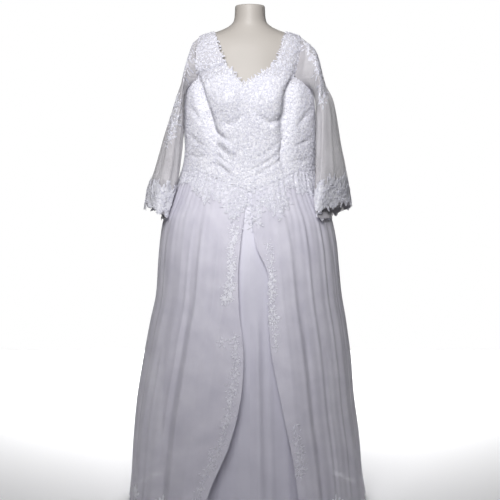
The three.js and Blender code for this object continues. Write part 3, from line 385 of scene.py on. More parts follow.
# %% Cloth
class Cloth:
    """Rows of points up or down a sheet. Where closed is true the last column meets the first."""

    STEP = 2.5  # rows or columns to each side over which lay() measures directions
    LEAST_CROSSING = 0.15  # keeps places near where rows and columns almost run together
    LEAST_SCALE, MOST_SCALE = 0.2, 1.6  # how far lay() may correct a motif's size on folds
    PAST_FIRST, PAST_LAST = -1.5, 0.5  # columns that a motif may reach past an open edge

    def __init__(self, points, closed=False):
        self.points, self.closed = points, closed
        self.rows, self.columns = points.shape[:2]
        ring = np.concatenate([points[:, -1:], points, points[:, :1]], 1) if closed else points
        across = np.gradient(ring, axis=1)[:, 1:-1] if closed else np.gradient(ring, axis=1)
        down = np.gradient(points, axis=0)
        normals = np.cross(across, down)
        self.normals = normals / np.linalg.norm(normals, axis=-1, keepdims=True)
        middle = points.reshape(-1, 3).mean(0) if closed else np.array([0, 0, points[..., 2].mean()])
        self.side = 1 if ((points - middle) * self.normals).sum() > 0 else -1
        self.normals *= self.side
        self.spans = self.columns if closed else self.columns - 1
        wrapped = np.concatenate([points, points[:, :1]], 1) if closed else points
        steps = np.linalg.norm(np.diff(wrapped, axis=1), axis=-1)
        rises = np.linalg.norm(np.diff(points, axis=0), axis=-1)
        self.u = np.concatenate([[0], np.cumsum(steps.mean(0))]) / 1000
        self.v = np.concatenate([[0], np.cumsum(rises.mean(1))]) / 1000
        self.widths, self.lengths = steps.sum(1) / 1000, rises.sum(0) / 1000

    def area(self):
        """Square metres of cloth."""
        i, j = np.mgrid[0 : self.rows - 1, 0 : self.spans]
        k = (j + 1) % self.columns
        p = self.points
        a, b, c, d = p[i, j], p[i, k], p[i + 1, k], p[i + 1, j]
        return np.linalg.norm(np.cross(c - a, d - b), axis=-1).sum() / 2e6

    def at(self, row, column, lift=0.0):
        """Points on the sheet at any row and column, also a little past its edges."""
        i = np.clip(np.floor(row), 0, self.rows - 2).astype(int)
        if self.closed:
            j = np.floor(column).astype(int)
            left, right = j % self.columns, (j + 1) % self.columns
        else:
            j = np.clip(np.floor(column), 0, self.columns - 2).astype(int)
            left, right = j, j + 1
        a, b = (row - i)[..., None], (column - j)[..., None]

        def blend(grid, a, b):
            upper = mix(grid[i, left], grid[i, right], b)
            lower = mix(grid[i + 1, left], grid[i + 1, right], b)
            return mix(upper, lower, a)

        normal = blend(self.normals, np.clip(a, 0, 1), np.clip(b, 0, 1))
        normal /= np.linalg.norm(normal, axis=-1, keepdims=True)
        return blend(self.points, a, b) + normal * np.asarray(lift)[..., None], normal

    def lay(self, row, column, flat, lift):
        """Lays shapes on the sheet: flat holds, for each place, points to its right and up."""
        row, column = np.asarray(row, float)[:, None], np.asarray(column, float)[:, None]
        step = self.STEP
        start, n = self.at(row, column)
        per_row = (self.at(row + step, column)[0] - self.at(row - step, column)[0]) / (2 * step)
        per_column = (self.at(row, column + step)[0] - self.at(row, column - step)[0]) / (2 * step)
        up = np.array([0, 0, 1.0]) - n * n[..., 2:]
        up /= np.maximum(np.linalg.norm(up, axis=-1, keepdims=True), 1e-6)
        right = np.cross(up, n)
        aim = flat[..., :1] * right + flat[..., 1:2] * up
        rr, cc = (per_row**2).sum(-1), (per_column**2).sum(-1)
        rc = (per_row * per_column).sum(-1)
        ra, ca = (per_row * aim).sum(-1), (per_column * aim).sum(-1)
        det = np.maximum(rr * cc - rc**2, self.LEAST_CROSSING * rr * cc)
        off_row, off_column = (cc * ra - rc * ca) / det, (rr * ca - rc * ra) / det
        reached = np.linalg.norm(self.at(row + off_row, column + off_column)[0] - start, axis=-1)
        wanted = np.linalg.norm(flat, axis=-1)
        scale = np.clip(wanted / np.maximum(reached, 0.1), self.LEAST_SCALE, self.MOST_SCALE)
        rows, columns = row + off_row * scale, column + off_column * scale
        if not self.closed:
            columns = np.clip(columns, self.PAST_FIRST, self.columns + self.PAST_LAST)
        return self.at(rows, columns, lift)[0]


def sheet_grid(surface, place, columns, rows, closed=False):
    """A sheet from a surface. place(u, v) gives the angle and height at shares across and up."""
    u = np.arange(columns) / columns if closed else np.linspace(0, 1, columns)
    u, v = np.meshgrid(u, np.linspace(0, 1, rows))
    return Cloth(surface(*place(u, v)), closed)


# %% Meshes from points
SHARP_TURN = math.radians(60)  # edges that turn by more than this are shaded sharp


def new_piece(name, points, faces, corner_uv, material, smooth=True):
    """A piece of the dress from points in millimetres, with a flat place for each face corner."""
    mesh = bpy.data.meshes.new(name)
    mesh.from_pydata((points / 1000).tolist(), [], faces.tolist())
    mesh.uv_layers.new(name="Flat").data.foreach_set("uv", np.ravel(corner_uv))
    mesh.materials.append(material)
    mesh.polygons.foreach_set("use_smooth", np.full(len(faces), smooth))
    mesh.update()
    mesh.set_sharp_from_angle(angle=SHARP_TURN)
    piece = bpy.data.objects.new(name, mesh)
    bpy.context.scene.collection.objects.link(piece)
    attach(piece, "root")
    return piece


def wall(name, cloth, thick, material):
    """The thin closed wall of a sheet, half its thickness to each side of the grid."""
    rows, columns, spans = cloth.rows, cloth.columns, cloth.spans
    half = cloth.normals * thick / 2
    points = np.concatenate([(cloth.points + half).reshape(-1, 3), (cloth.points - half).reshape(-1, 3)])
    i, j = (x.ravel() for x in np.mgrid[0 : rows - 1, 0:spans])
    # Each corner is a row, a column and a layer: 0 is the outside and 1 the inside.
    across, down = np.arange(spans), np.arange(rows - 1)
    first, last = 0 * across, 0 * across + rows - 1
    quads = [
        [(i, j, 0), (i, j + 1, 0), (i + 1, j + 1, 0), (i + 1, j, 0)],
        [(i, j, 1), (i + 1, j, 1), (i + 1, j + 1, 1), (i, j + 1, 1)],
        [(first, across, 0), (first, across, 1), (first, across + 1, 1), (first, across + 1, 0)],
        [(last, across, 0), (last, across + 1, 0), (last, across + 1, 1), (last, across, 1)],
    ]
    if not cloth.closed:
        start, end = 0 * down, 0 * down + columns - 1
        quads += [
            [(down, start, 0), (down + 1, start, 0), (down + 1, start, 1), (down, start, 1)],
            [(down, end, 0), (down, end, 1), (down + 1, end, 1), (down + 1, end, 0)],
        ]
    faces, uv = [], []
    for quad in quads:
        quad = quad if cloth.side > 0 else quad[::-1]
        corners = [layer * rows * columns + r * columns + c % columns for r, c, layer in quad]
        faces.append(np.stack(corners, -1))
        uv.append(np.stack([np.stack([cloth.u[c], cloth.v[r]], -1) for r, c, _ in quad], 1))
    return new_piece(name, points, np.concatenate(faces), np.concatenate(uv), material)


# %% [markdown]
# ## Finishes
# Each cloth's finish is worked out from its own flat pattern, so that a weave runs along the
# thread and doesn't slide when the cloth is folded. Satin is smooth with a soft sheen. Under the
# bodice's lace it is a close embroidery whose darkest cells are painted shade. Net lets light
# through the holes of its mesh. Lace is matt cotton thread, drawn in fine rings, with painted
# shade in uneven spots. Sequins and beads are glossy. The form is a moulded shell with a dull
# shine, and its stand is painted metal.

# %% Node helpers
def finish(name, color, rough, **sockets):
    """A new material, its principled shader and a function that adds nodes to it."""
    material = bpy.data.materials.new(name)
    material.use_nodes = True
    tree = material.node_tree
    shader = tree.nodes["Principled BSDF"]
    shader.inputs["Base Color"].default_value = (*color, 1)
    shader.inputs["Roughness"].default_value = rough
    for socket, value in sockets.items():
        shader.inputs[socket.replace("_", " ")].default_value = value

    def add(kind, inputs=(), **settings):
        node = tree.nodes.new("ShaderNode" + kind)
        for key, value in settings.items():
            setattr(node, key, value)
        for key, value in dict(inputs).items():
            if isinstance(value, bpy.types.NodeSocket):
                tree.links.new(value, node.inputs[key])
            else:
                node.inputs[key].default_value = value
        return node

    return material, shader, add, tree.links.new


def ranged(add, value, start, stop, low=0, high=1):
    """Carries the values from start to stop over to low to high."""
    inputs = {"Value": value, "From Min": start, "From Max": stop, "To Min": low, "To Max": high}
    return add("MapRange", inputs).outputs[0]


def blotches(add, vector, scale, low, high):
    """Soft uneven values between low and high."""
    noise = add("TexNoise", {"Vector": vector, "Scale": scale, "Detail": 3})
    return ranged(add, noise.outputs[0], 0.3, 0.7, low, high)


def cell_edges(add, vector, scale, uneven):
    """How far each place is from the edge of its cell."""
    inputs = {"Vector": vector, "Scale": scale, "Randomness": uneven}
    return add("TexVoronoi", inputs, feature="DISTANCE_TO_EDGE").outputs[0]


def tinted(add, factor, dark, light):
    """A colour between dark and light."""
    tint = add("Mix", {"Factor": factor}, data_type="RGBA")
    tint.inputs[6].default_value, tint.inputs[7].default_value = (*dark, 1), (*light, 1)
    return tint.outputs[2]


# %% Satin, net and lace
def satin(name, dark, light):
    """Smooth cloth with a fine close weave."""
    material, shader, add, link = finish(name, light, 0.42, Sheen_Weight=0.25, Sheen_Roughness=0.4)
    uv = add("TexCoord").outputs["UV"]
    link(tinted(add, blotches(add, uv, 9, 0, 1), dark, light), shader.inputs["Base Color"])
    across = add("TexWave", {"Vector": uv, "Scale": 420, "Distortion": 0.6}, bands_direction="X")
    along = add("TexWave", {"Vector": uv, "Scale": 260, "Distortion": 0.6}, bands_direction="Y")
    weave = add("Math", {0: across.outputs["Fac"], 1: along.outputs["Fac"]}, operation="MULTIPLY")
    bump = add("Bump", {"Height": weave.outputs[0], "Strength": 0.12, "Distance": 0.0004})
    link(bump.outputs[0], shader.inputs["Normal"])
    return material


def embroidered(name, dark, light, cell=0.0042):
    """Satin under a close ground of fine embroidery, cell by cell lighter or darker at random, its darkest
    cells painted shade between the threads.
    """
    material, shader, add, link = finish(name, light, 0.5, Sheen_Weight=0.2)
    uv = add("TexCoord").outputs["UV"]
    # The cells' tone is random, and its dark end is painted shade between the threads.
    cells = add("TexVoronoi", {"Vector": uv, "Scale": 1 / cell, "Randomness": 0.9})
    tone = add("SeparateColor", {"Color": cells.outputs["Color"]})
    cord = ranged(add, cell_edges(add, uv, 0.8 / cell, 0.8), 0.04, 0.2, 1, 0.1)
    both = add("Math", {0: cord, 1: tone.outputs[0]}, operation="MAXIMUM")
    link(tinted(add, both.outputs[0], dark, light), shader.inputs["Base Color"])
    bump = add("Bump", {"Height": cord, "Strength": 0.5, "Distance": 0.0008})
    link(bump.outputs[0], shader.inputs["Normal"])
    return material


def net(name, dark, light, thin, dense, cell=0.0022):
    """Net: its threads are the edges of small, nearly even cells, and cover more than its holes."""
    material, shader, add, link = finish(name, light, 0.75, Sheen_Weight=0.2)
    uv = add("TexCoord").outputs["UV"]
    thread = ranged(add, cell_edges(add, uv, 1 / cell, 0.25), 0.1, 0.22, 1, 0)
    cover = blotches(add, uv, 6, thin, mix(thin, dense, 0.5))
    link(ranged(add, thread, 0, 1, cover, dense), shader.inputs["Alpha"])
    link(tinted(add, blotches(add, uv, 14, 0, 1), dark, light), shader.inputs["Base Color"])
    return material


def lace(name, dark, light):
    """Matt thread in fine rings, with painted shade: darker in uneven spots, as if it lay deeper."""
    material, shader, add, link = finish(name, light, 0.6, Sheen_Weight=0.15)
    uv = add("TexCoord").outputs["UV"]
    thread = add("TexWave", {"Vector": uv, "Scale": 330, "Distortion": 3, "Detail": 1}, wave_type="RINGS")
    place = add("TexCoord").outputs["Object"]
    # Painted shade: this noise darkens the thread in uneven spots. The name worn stands for this shade, not
    # for wear.
    worn = add("TexNoise", {"Vector": place, "Scale": 260, "Detail": 2})
    spread = ranged(add, worn.outputs[0], 0.35, 0.62)
    shade = add("Math", {0: thread.outputs["Fac"], 1: spread}, operation="MULTIPLY")
    link(tinted(add, shade.outputs[0], dark, light), shader.inputs["Base Color"])
    bump = add("Bump", {"Height": thread.outputs["Fac"], "Strength": 0.35, "Distance": 0.0005})
    link(bump.outputs[0], shader.inputs["Normal"])
    return material


# %% The finishes of the dress
SATIN = satin("white_satin", (0.565, 0.553, 0.645), (0.63, 0.617, 0.71))
# The dark colour of the bodice satin is partly painted shade between the lace's threads.
BODICE_SATIN = embroidered("bodice_satin", (0.33, 0.322, 0.40), (0.78, 0.775, 0.82))
SKIRT_NET = net("skirt_net", (0.70, 0.682, 0.782), (0.83, 0.812, 0.90), 0.5, 0.68)
SLEEVE_NET = net("sleeve_net", (0.55, 0.53, 0.565), (0.67, 0.65, 0.69), 0.3, 0.52)
YOKE_NET = net("yoke_net", (0.72, 0.71, 0.78), (0.86, 0.85, 0.91), 0.3, 0.6)
# The dark colour of each lace is partly painted shade, laid on by the noise in lace().
LACE = lace("white_lace", (0.50, 0.497, 0.59), (0.97, 0.97, 0.975))
TRAIL_LACE = lace("trail_lace", (0.72, 0.715, 0.80), (0.96, 0.96, 0.985))
FAINT_LACE = lace("faint_lace", (0.66, 0.65, 0.74), (0.92, 0.915, 0.96))


# %% Form and stand
def coated(name, dark, light, rough, coat):
    """A hard surface with a fine grain under a thin coat."""
    material, shader, add, link = finish(name, light, rough, Coat_Weight=coat, Coat_Roughness=0.12)
    place = add("TexCoord").outputs["Object"]
    link(tinted(add, blotches(add, place, 5, 0, 1), dark, light), shader.inputs["Base Color"])
    grain = add("TexNoise", {"Vector": place, "Scale": 900, "Detail": 2})
    bump = add("Bump", {"Height": grain.outputs[0], "Strength": 0.04, "Distance": 0.0003})
    link(bump.outputs[0], shader.inputs["Normal"])
    return material


FORM_SHELL = coated("form_shell", (0.385, 0.357, 0.331), (0.42, 0.39, 0.362), 0.55, 0.04)
STAND_PAINT = coated("stand_paint", (0.60, 0.59, 0.57), (0.66, 0.65, 0.63), 0.4, 0.2)

# %% [markdown]
# ## The form and its stand
# The form is a smooth moulded torso without head or arms. Its CAD solid has flat facets, so a
# copy of it is merged, turned into quads and subdivided, which rounds it off. The pole and the
# base have the right shape already, and only get their paint.


# %% Dress form
def deselect():
    """Leaves edit mode and selects nothing."""
    if bpy.context.object and bpy.context.object.mode != "OBJECT":
        bpy.ops.object.mode_set(mode="OBJECT")
    bpy.ops.object.select_all(action="DESELECT")


def rounded_copy(name, node):
    """A smooth copy of a CAD node's solid."""
    deselect()
    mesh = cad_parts[node].data.copy()
    mesh.name = name
    piece = bpy.data.objects.new(name, mesh)
    bpy.context.scene.collection.objects.link(piece)
    piece.select_set(True)
    bpy.context.view_layer.objects.active = piece
    bpy.ops.object.mode_set(mode="EDIT")
    bpy.ops.mesh.select_all(action="SELECT")
    bpy.ops.mesh.remove_doubles(threshold=1e-5)
    bpy.ops.mesh.tris_convert_to_quads()
    bpy.ops.object.mode_set(mode="OBJECT")
    rounding = piece.modifiers.new("Rounding", "SUBSURF")
    rounding.levels = rounding.render_levels = 2
    bpy.ops.object.modifier_apply(modifier="Rounding")
    bpy.ops.object.shade_smooth()
    piece.data.materials.clear()
    return piece


torso = rounded_copy("dress_form", "form_torso")
torso.data.materials.append(FORM_SHELL)
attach(torso, "root")
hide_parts("form_torso")
for node in ("stand_pole", "stand_base"):
    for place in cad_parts[node].material_slots:
        place.material = STAND_PAINT
print("form faces", len(torso.data.polygons))

# %% [markdown]
# ## The bodice
# Five panels: a centre front between the two deep creases, a side front to each side seam, and
# two backs. Above the cups, and high on the back, the cloth is sheer, so the form shows through
# it. The panels meet edge to edge at seams, and each one is cut flat and shaped by its seams.

# %% Places on the bodice panels
CENTRE_TOP = np.array(
    [(0, 0, 1428), (0.125, 0.16, 1440), (0.25, 0.335, 1461), (0.5, 0.5, 1396),
     (0.75, 0.745, 1461), (0.875, 0.88, 1440), (1, 1, 1428)]
).T
BACK_TOP = np.array([(0, 90, UNDERARM), (1 / 3, 119, 1436), (2 / 3, 146, 1466), (1, 180, 1452)]).T
WAIST_GAP, SEAM = 1.2, 0.3
SIDE_FRONT_TOP = 1428


def seam_deg(deg, z):
    """Half the gap of a seam, as an angle."""
    return np.degrees(SEAM / 2 / np.linalg.norm(shell_point(deg, z), axis=-1))


def centre_place(s, v):
    """The angle and height at shares across and up the centre front."""
    share, top = (np.interp(s, CENTRE_TOP[0], column) for column in CENTRE_TOP[1:])
    z = mix(waist_z(mix(-30, 30, s)) + WAIST_GAP, top, v)
    left, right = CREASE["left_deg"](z), CREASE["right_deg"](z)
    inset = (1 - 2 * s) * seam_deg(np.where(s < 0.5, left, right), z)
    return mix(left, right, mix(s, share, v**1.6)) + inset, z


def side_place(sign):
    """The same for a side front, from the crease to the side seam."""

    def place(u, v):
        low = waist_z(sign * mix(30, 90, u)) + WAIST_GAP
        z = mix(low, mix(SIDE_FRONT_TOP, UNDERARM, np.sin(u * np.pi / 2) ** 0.8), v)
        start = CREASE["left_deg" if sign < 0 else "right_deg"](z)
        return mix(start, sign * 90, u) + sign * (1 - 2 * u) * seam_deg(start, z), z

    return place


def back_place(sign):
    """The same for a back, from the side seam to the middle of the back."""

    def place(u, v):
        top_deg, top_z = (np.interp(u, BACK_TOP[0], column) for column in BACK_TOP[1:])
        z = mix(SIDE_WAIST + WAIST_GAP, top_z, v)
        deg = mix(mix(90, 180, u), top_deg, v**1.5) + (1 - 2 * u) * seam_deg(180, z)
        return sign * deg, z

    return place


# %% Bodice panels
SIDES = {"left": -1, "right": 1}
LINED = 1.4  # the thickness of lined cloth
LEAST_USED, MOST_USED = 0.301, 0.999  # the share of its flat rectangle that a sheet may fill


def flat_size(cloth):
    """The width and length that a sheet's own rows and columns measure, in metres."""
    return round(float(cloth.widths.max()), 3), round(float(cloth.lengths.max()), 3)


def cut(piece, cloth):
    """Prints a sheet's flat size and its area."""
    width, length = flat_size(cloth)
    area = float(np.clip(cloth.area(), LEAST_USED * width * length, MOST_USED * width * length))
    print(f"{piece.name}: {width:.2f} x {length:.2f} m, {area:.3f} m2")


panels = {"centre_front": sheet_grid(bodice_point, centre_place, 97, 73)}
for side, sign in SIDES.items():
    panels["side_front_" + side] = sheet_grid(bodice_point, side_place(sign), 49, 57)
    panels["back_" + side] = sheet_grid(bodice_point, back_place(sign), 65, 45)
# The top of the cups seen from the front: x and height. The cloth above it is net, and so is
# the back above its own height.
CUP_EDGE = np.array(
    [(-215, 1400), (-150, 1398), (-120, 1416), (-85, 1427), (-50, 1414), (-20, 1384),
     (14, 1412), (55, 1426), (100, 1416), (140, 1396), (215, 1400)]
).T
BACK_EDGE = 1412
for name, cloth in panels.items():
    panel = wall("dress_bodice_" + name, cloth, LINED, BODICE_SATIN)
    panel.data.materials.append(YOKE_NET)
    middles = np.zeros(3 * len(panel.data.polygons))
    panel.data.polygons.foreach_get("center", middles)
    x, y, z = 1000 * middles.reshape(-1, 3).T
    sheer = z > np.where(y < 0, np.interp(x, *CUP_EDGE), BACK_EDGE)
    panel.data.polygons.foreach_set("material_index", sheer.astype(int))
    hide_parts("bodice_" + name)
    cut(panel, cloth)

# %% Back placket
# A narrow strip over the closure, from the right back to the left back.
PLACKET_FROM = 0.9  # its edges, as a share of the way from the side seam
PLACKET_HALF, PLACKET_ROWS, PLACKET_LIFT = 5, 45, 1.75
share = np.linspace(PLACKET_FROM, 1, PLACKET_HALF)
share, up = np.meshgrid(np.concatenate([share, share[::-1]]), np.linspace(0, 1, PLACKET_ROWS))
on_right, on_left = (bodice_point(*back_place(sign)(share, up)) for sign in (1, -1))
strip = Cloth(np.where(np.arange(2 * PLACKET_HALF)[:, None] < PLACKET_HALF, on_right, on_left))
placket_cloth = Cloth(strip.points + strip.normals * PLACKET_LIFT)
placket = wall("dress_back_placket", placket_cloth, LINED, SATIN)
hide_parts("back_placket")
cut(placket, placket_cloth)

# %% [markdown]
# ## The shoulder straps
# Each strap is lace on net, and runs from the front neckline over the shoulder to the back. Its
# rows follow the form's own surface, and ease away from it towards both ends, where the cloth
# leaves the shoulder and meets the bodice.


# %% Straps
def form_at(x, z, face):
    """The form's surface and its normal at x and a height, on its front (-1) or back (1)."""
    ratio = np.minimum(0.99999, np.abs(x) / FORM["side"](z))
    deg = np.degrees(np.arcsin(ratio ** (FORM["power"](z) / 2)))
    deg = np.sign(x) * np.where(face < 0, deg, 180 - deg)
    up = form_point(deg, z + 0.5) - form_point(deg, z - 0.5)
    around = form_point(deg + 0.5, z) - form_point(deg - 0.5, z)
    normal = np.cross(around, up)
    return form_point(deg, z), normal / np.linalg.norm(normal, axis=-1, keepdims=True)


SHOULDER = np.linspace(1600, 1500, 2001)  # heights of the shoulder's slope
STRAP_LIFT = 3.6  # the strap's distance from the form
NECK_X, ARM_X = 124, 159  # its two edges on the ridge


def ridge_z(x):
    """The height of the shoulder's ridge above a distance from the middle."""
    return np.interp(x, FORM["side"](SHOULDER), SHOULDER)


def strap_points(sign, rows, columns):
    """Rows from the front neckline to the back, and columns from the neck to the arm."""
    t = np.linspace(0, 1, columns)
    near_neck = 0.25 * (1 - t)
    front = shell_point(*centre_place(near_neck if sign < 0 else 1 - near_neck, np.ones(columns)))
    back = shell_point(*back_place(sign)(mix(2 / 3, 1 / 3, t), np.ones(columns)))
    along, t = np.meshgrid(np.linspace(-1, 1, rows), t, indexing="ij")
    face, up = np.where(along < 0, -1, 1), 1 - np.abs(along)
    start = np.where(along[..., None] < 0, front, back)
    start_x = np.abs(start[..., 0])
    x = mix(start_x, mix(NECK_X, ARM_X, t), up**0.8) + 10 * np.sin(up * np.pi) * mix(0.3, 1, t)
    drop = (ridge_z(start_x) - start[..., 2]) * (1 - np.sin(up * np.pi / 2))
    onto, normal = form_at(sign * x, ridge_z(x) - np.maximum(drop, 1e-3), face)
    onto[..., 1] = np.where(up > 0.999, 0, onto[..., 1])
    lift = start - form_at(start[..., 0], start[..., 2], face)[0]
    points = onto + STRAP_LIFT * normal + lift * (ease((1 - up) * 1.25 - 0.25) * 0.98)[..., None]
    ends = up < 1e-6
    points[ends] = start[ends] + [0, 0, SEAM]
    return points


straps = {}
for side, sign in SIDES.items():
    straps[side] = Cloth(strap_points(sign, 61, 17))
    strap = wall("dress_strap_" + side, straps[side], LINED, YOKE_NET)
    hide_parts("shoulder_strap_" + side)
    cut(strap, straps[side])

# %% [markdown]
# ## The sleeves
# The sleeves are sheer net tubes that start at the armhole and hang free to below the elbow.
# Rings from the armhole to the cuff set their width, depth and turn, and a few long folds and
# short elbow creases are drawn on them.

# %% Sleeve tables
# Outer x and z, inner x and z of each ring's front outline, half depth, swing forward, turn.
LEFT_RINGS = [
    (187, 1536, 217, 1362, 84, 2, 0), (204, 1484, 220, 1342, 88, 4, 0),
    (217, 1432, 222, 1314, 89, 6, 0), (238, 1366, 216, 1282, 88, 9, 0),
    (280, 1244, 222, 1200, 82, 15, 3), (300, 1178, 228, 1148, 80, 18, 6),
    (319, 1112, 236, 1092, 81, 22, 6), (338, 1062, 248, 1034, 83, 26, 7),
    (348, 1006, 256, 958, 86, 32, 8),
]
RIGHT_RINGS = [
    (188, 1539, 214, 1362, 86, 2, 0), (214, 1512, 218, 1342, 92, 4, 0),
    (229, 1462, 220, 1314, 94, 8, 0), (248, 1400, 214, 1282, 94, 12, 3),
    (277, 1344, 215, 1244, 92, 17, 6), (303, 1208, 215, 1148, 90, 30, 15),
    (319, 1140, 213, 1092, 92, 38, 20), (331, 1074, 211, 1034, 95, 48, 26),
    (340, 1008, 199, 964, 99, 60, 32),
]
# Long folds: turn at the top and at the end (0 is the top of the arm, 0.75 its front), half
# width in turns, height in millimetres, and the rings between which the fold shows.
SLEEVE_FOLDS = {
    "left": [
        (0.78, 0.70, 0.022, 4.5, 1.0, 8.6), (0.86, 0.80, 0.018, 3.5, 0.4, 6.0),
        (0.70, 0.60, 0.02, 3.5, 2.2, 8.6), (0.92, 0.90, 0.02, 3.5, 2.0, 8.6),
        (0.64, 0.55, 0.02, -2.5, 1.0, 5.5), (0.06, 0.08, 0.02, 3.5, 1.2, 7.5),
        (0.16, 0.20, 0.022, 4, 0.6, 8.6), (0.28, 0.30, 0.02, 3, 2.5, 8.6),
        (0.38, 0.42, 0.02, 3, 1.2, 6.5),
    ],
    "right": [
        (0.76, 0.72, 0.02, 4.5, 0.8, 8.6), (0.84, 0.86, 0.022, 4, 1.6, 8.6),
        (0.68, 0.62, 0.018, 3.5, 2.6, 7.8), (0.94, 0.93, 0.018, 3, 0.6, 5.0),
        (0.61, 0.56, 0.02, -2.5, 1.2, 6.0), (0.05, 0.05, 0.022, 3.5, 2.0, 8.6),
        (0.17, 0.22, 0.02, 4, 0.8, 7.0), (0.30, 0.33, 0.022, 3.5, 1.8, 8.6),
        (0.40, 0.43, 0.02, 3, 3.0, 8.6),
    ],
}
# Short creases near the elbow: turn and ring of both ends, half width in turns, and depth.
ELBOW_CREASES = {
    "left": [
        (0.83, 3.3, 0.70, 4.3, 0.02, 3.0), (0.80, 4.5, 0.68, 5.2, 0.02, 2.6),
        (0.30, 3.6, 0.42, 4.6, 0.02, 2.8),
    ],
    "right": [
        (0.86, 4.6, 0.70, 3.8, 0.02, 3.0), (0.82, 5.4, 0.70, 4.8, 0.02, 2.6),
        (0.28, 4.0, 0.40, 5.0, 0.02, 2.8),
    ],
}


# %% The armhole and the rings below it
FROM_ARMHOLE = 1.3  # the sleeve starts this far past the seam, and a little below it
CLEAR, CLEAR_PER_RING = 5, 0.5  # distance from the dress, which grows over the first 3 rings
NET_BELOW_WAIST = 2.2  # more room beside the skirt's sharper folds
BODICE_ENDS = UNDERARM + 40  # above this height the sleeve only has to clear the form
NEAR_DEG = (-6, -3, 0, 3, 6)  # what stands out a little to each side counts too
LAST_RING, ROWS_PER_RING = 8, 9
NARROWEST = 0.4  # the least share of its seen width that a turned ring keeps
WAVES, WAVE_HEIGHT = 5, 0.045  # soft waves round the arm, as a share of its width


def armhole(sign):
    """Points round the armhole from the shoulder's ridge by way of the back, and their turns."""
    over = strap_points(sign, 11, 5)[:, 4]
    down_back = shell_point(*back_place(sign)(np.array([3, 2, 1, 0]) / 12, np.ones(4)))
    up_front = shell_point(*side_place(sign)(np.arange(7, 0, -1) / 8, np.ones(7)))
    loop = np.concatenate([over, down_back, up_front])
    loop = np.concatenate([loop[5:], loop[:5]])
    lengths = np.linalg.norm(np.roll(loop, -1, 0) - loop, axis=1)
    travelled = np.concatenate([[0], np.cumsum(lengths)])
    seam, total = travelled[9], travelled[-1]
    past = 0.5 + (travelled - seam) / (total - seam) / 2
    turns = np.where(travelled <= seam, travelled / seam / 2, past)
    loop = loop + (SEAM + FROM_ARMHOLE) * np.array([sign, 0, -0.15]) / np.hypot(1, 0.15)
    return np.concatenate([loop, loop[:1]]), turns


def keep_clear(p, clear):
    """Moves sleeve points out until they are clear of the form, the bodice and the skirt."""
    deg, z = np.degrees(np.arctan2(p[..., 0], -p[..., 1])), p[..., 2]
    reach = 0
    for by in NEAR_DEG:
        skirt = overskirt_point(deg + by, z, fine=False)
        near = np.where((z < BODICE_ENDS)[..., None], skirt, form_point(deg + by, z))
        reach = np.maximum(reach, np.hypot(near[..., 0], near[..., 1]))
    reach = reach + np.where(z < SIDE_WAIST, NET_BELOW_WAIST, 0) + clear
    r = np.hypot(p[..., 0], p[..., 1])
    grown = p.copy()
    grown[..., :2] *= np.maximum(1, reach / r)[..., None]
    return grown


def sleeve_points(side, columns=120):
    """The sleeve without folds: its points, and each one's turn and ring. Ring -1 is the seam."""
    sign = SIDES[side]
    table = np.array(LEFT_RINGS if sign < 0 else RIGHT_RINGS, float).T
    loop, loop_turns = armhole(sign)
    steps = np.linspace(-1, LAST_RING, (LAST_RING + 1) * ROWS_PER_RING + 1)
    turn, ring = np.meshgrid(np.arange(columns) / columns, steps)
    k = np.clip(ring, 0, LAST_RING)
    at_rings = (smooth_curve(-np.arange(LAST_RING + 1), column)(-k) for column in table)
    out_x, out_z, in_x, in_z, deep, forward, turned = at_rings
    angle, t = 2 * np.pi * turn, np.radians(turned)
    wide = (out_x - in_x) / 2
    seen = np.maximum(wide**2 - (deep * np.sin(t)) ** 2, (NARROWEST * wide) ** 2)
    seen = np.sign(wide) * np.sqrt(seen)
    wave = 1 + WAVE_HEIGHT * np.clip(k / 6, 0, 1) * np.cos(WAVES * angle + 0.8)
    across, depth = seen / np.cos(t) * np.cos(angle) * wave, deep * np.sin(angle) * wave
    x = sign * ((out_x + in_x) / 2 + across * np.cos(t) + depth * np.sin(t))
    y = -forward + across * np.sin(t) + depth * np.cos(t)
    z = (out_z + in_z) / 2 + (out_z - in_z) / 2 * np.cos(angle)
    rings = keep_clear(np.stack([x, y, z], -1), CLEAR + np.minimum(3, k) * CLEAR_PER_RING)
    seam = np.stack([np.interp(turn, loop_turns, column) for column in loop.T], -1)
    return mix(seam, rings, np.clip(ring + 1, 0, 1)[..., None]), turn, ring


# %% Folds and elbow creases of the sleeves
CUFF_FROM = 7.0  # the folds end above the stiff lace of the cuff
FOLD_GROWS_RINGS = 1.2  # over which a fold grows and dies away
FOLD_SHARE = 0.8  # how much of its height in the table a fold gets
RING_TURNS = 0.08  # the length of one ring's spacing, in turns round the arm


def folded_sleeve(side):
    """The sleeve with its long folds and its elbow creases."""
    points, turn, ring = sleeve_points(side)
    relief = np.zeros(turn.shape)
    for top, end, wide, out, start, stop in SLEEVE_FOLDS[side]:
        away = (turn - mix(top, end, np.clip(ring / LAST_RING, 0, 1)) + 0.5) % 1 - 0.5
        ends = ease((min(stop, CUFF_FROM) - ring) / FOLD_GROWS_RINGS + 0.3)
        shown = ease((ring - start) / FOLD_GROWS_RINGS) * ends
        relief += FOLD_SHARE * out * np.exp(-((away / wide) ** 2)) * shown
    for turn_a, ring_a, turn_b, ring_b, wide, depth in ELBOW_CREASES[side]:
        step = np.array([turn_b - turn_a, (ring_b - ring_a) * RING_TURNS])
        x, y = turn - turn_a, (ring - ring_a) * RING_TURNS
        along = np.clip((x * step[0] + y * step[1]) / (step @ step), 0, 1)
        away = np.hypot(x - along * step[0], y - along * step[1])
        relief -= depth * np.exp(-((away / wide) ** 2)) * np.sin(np.pi * np.clip(along, 0.05, 0.95))
    plain = Cloth(points, closed=True)
    return Cloth(points + plain.normals * relief[..., None], closed=True)


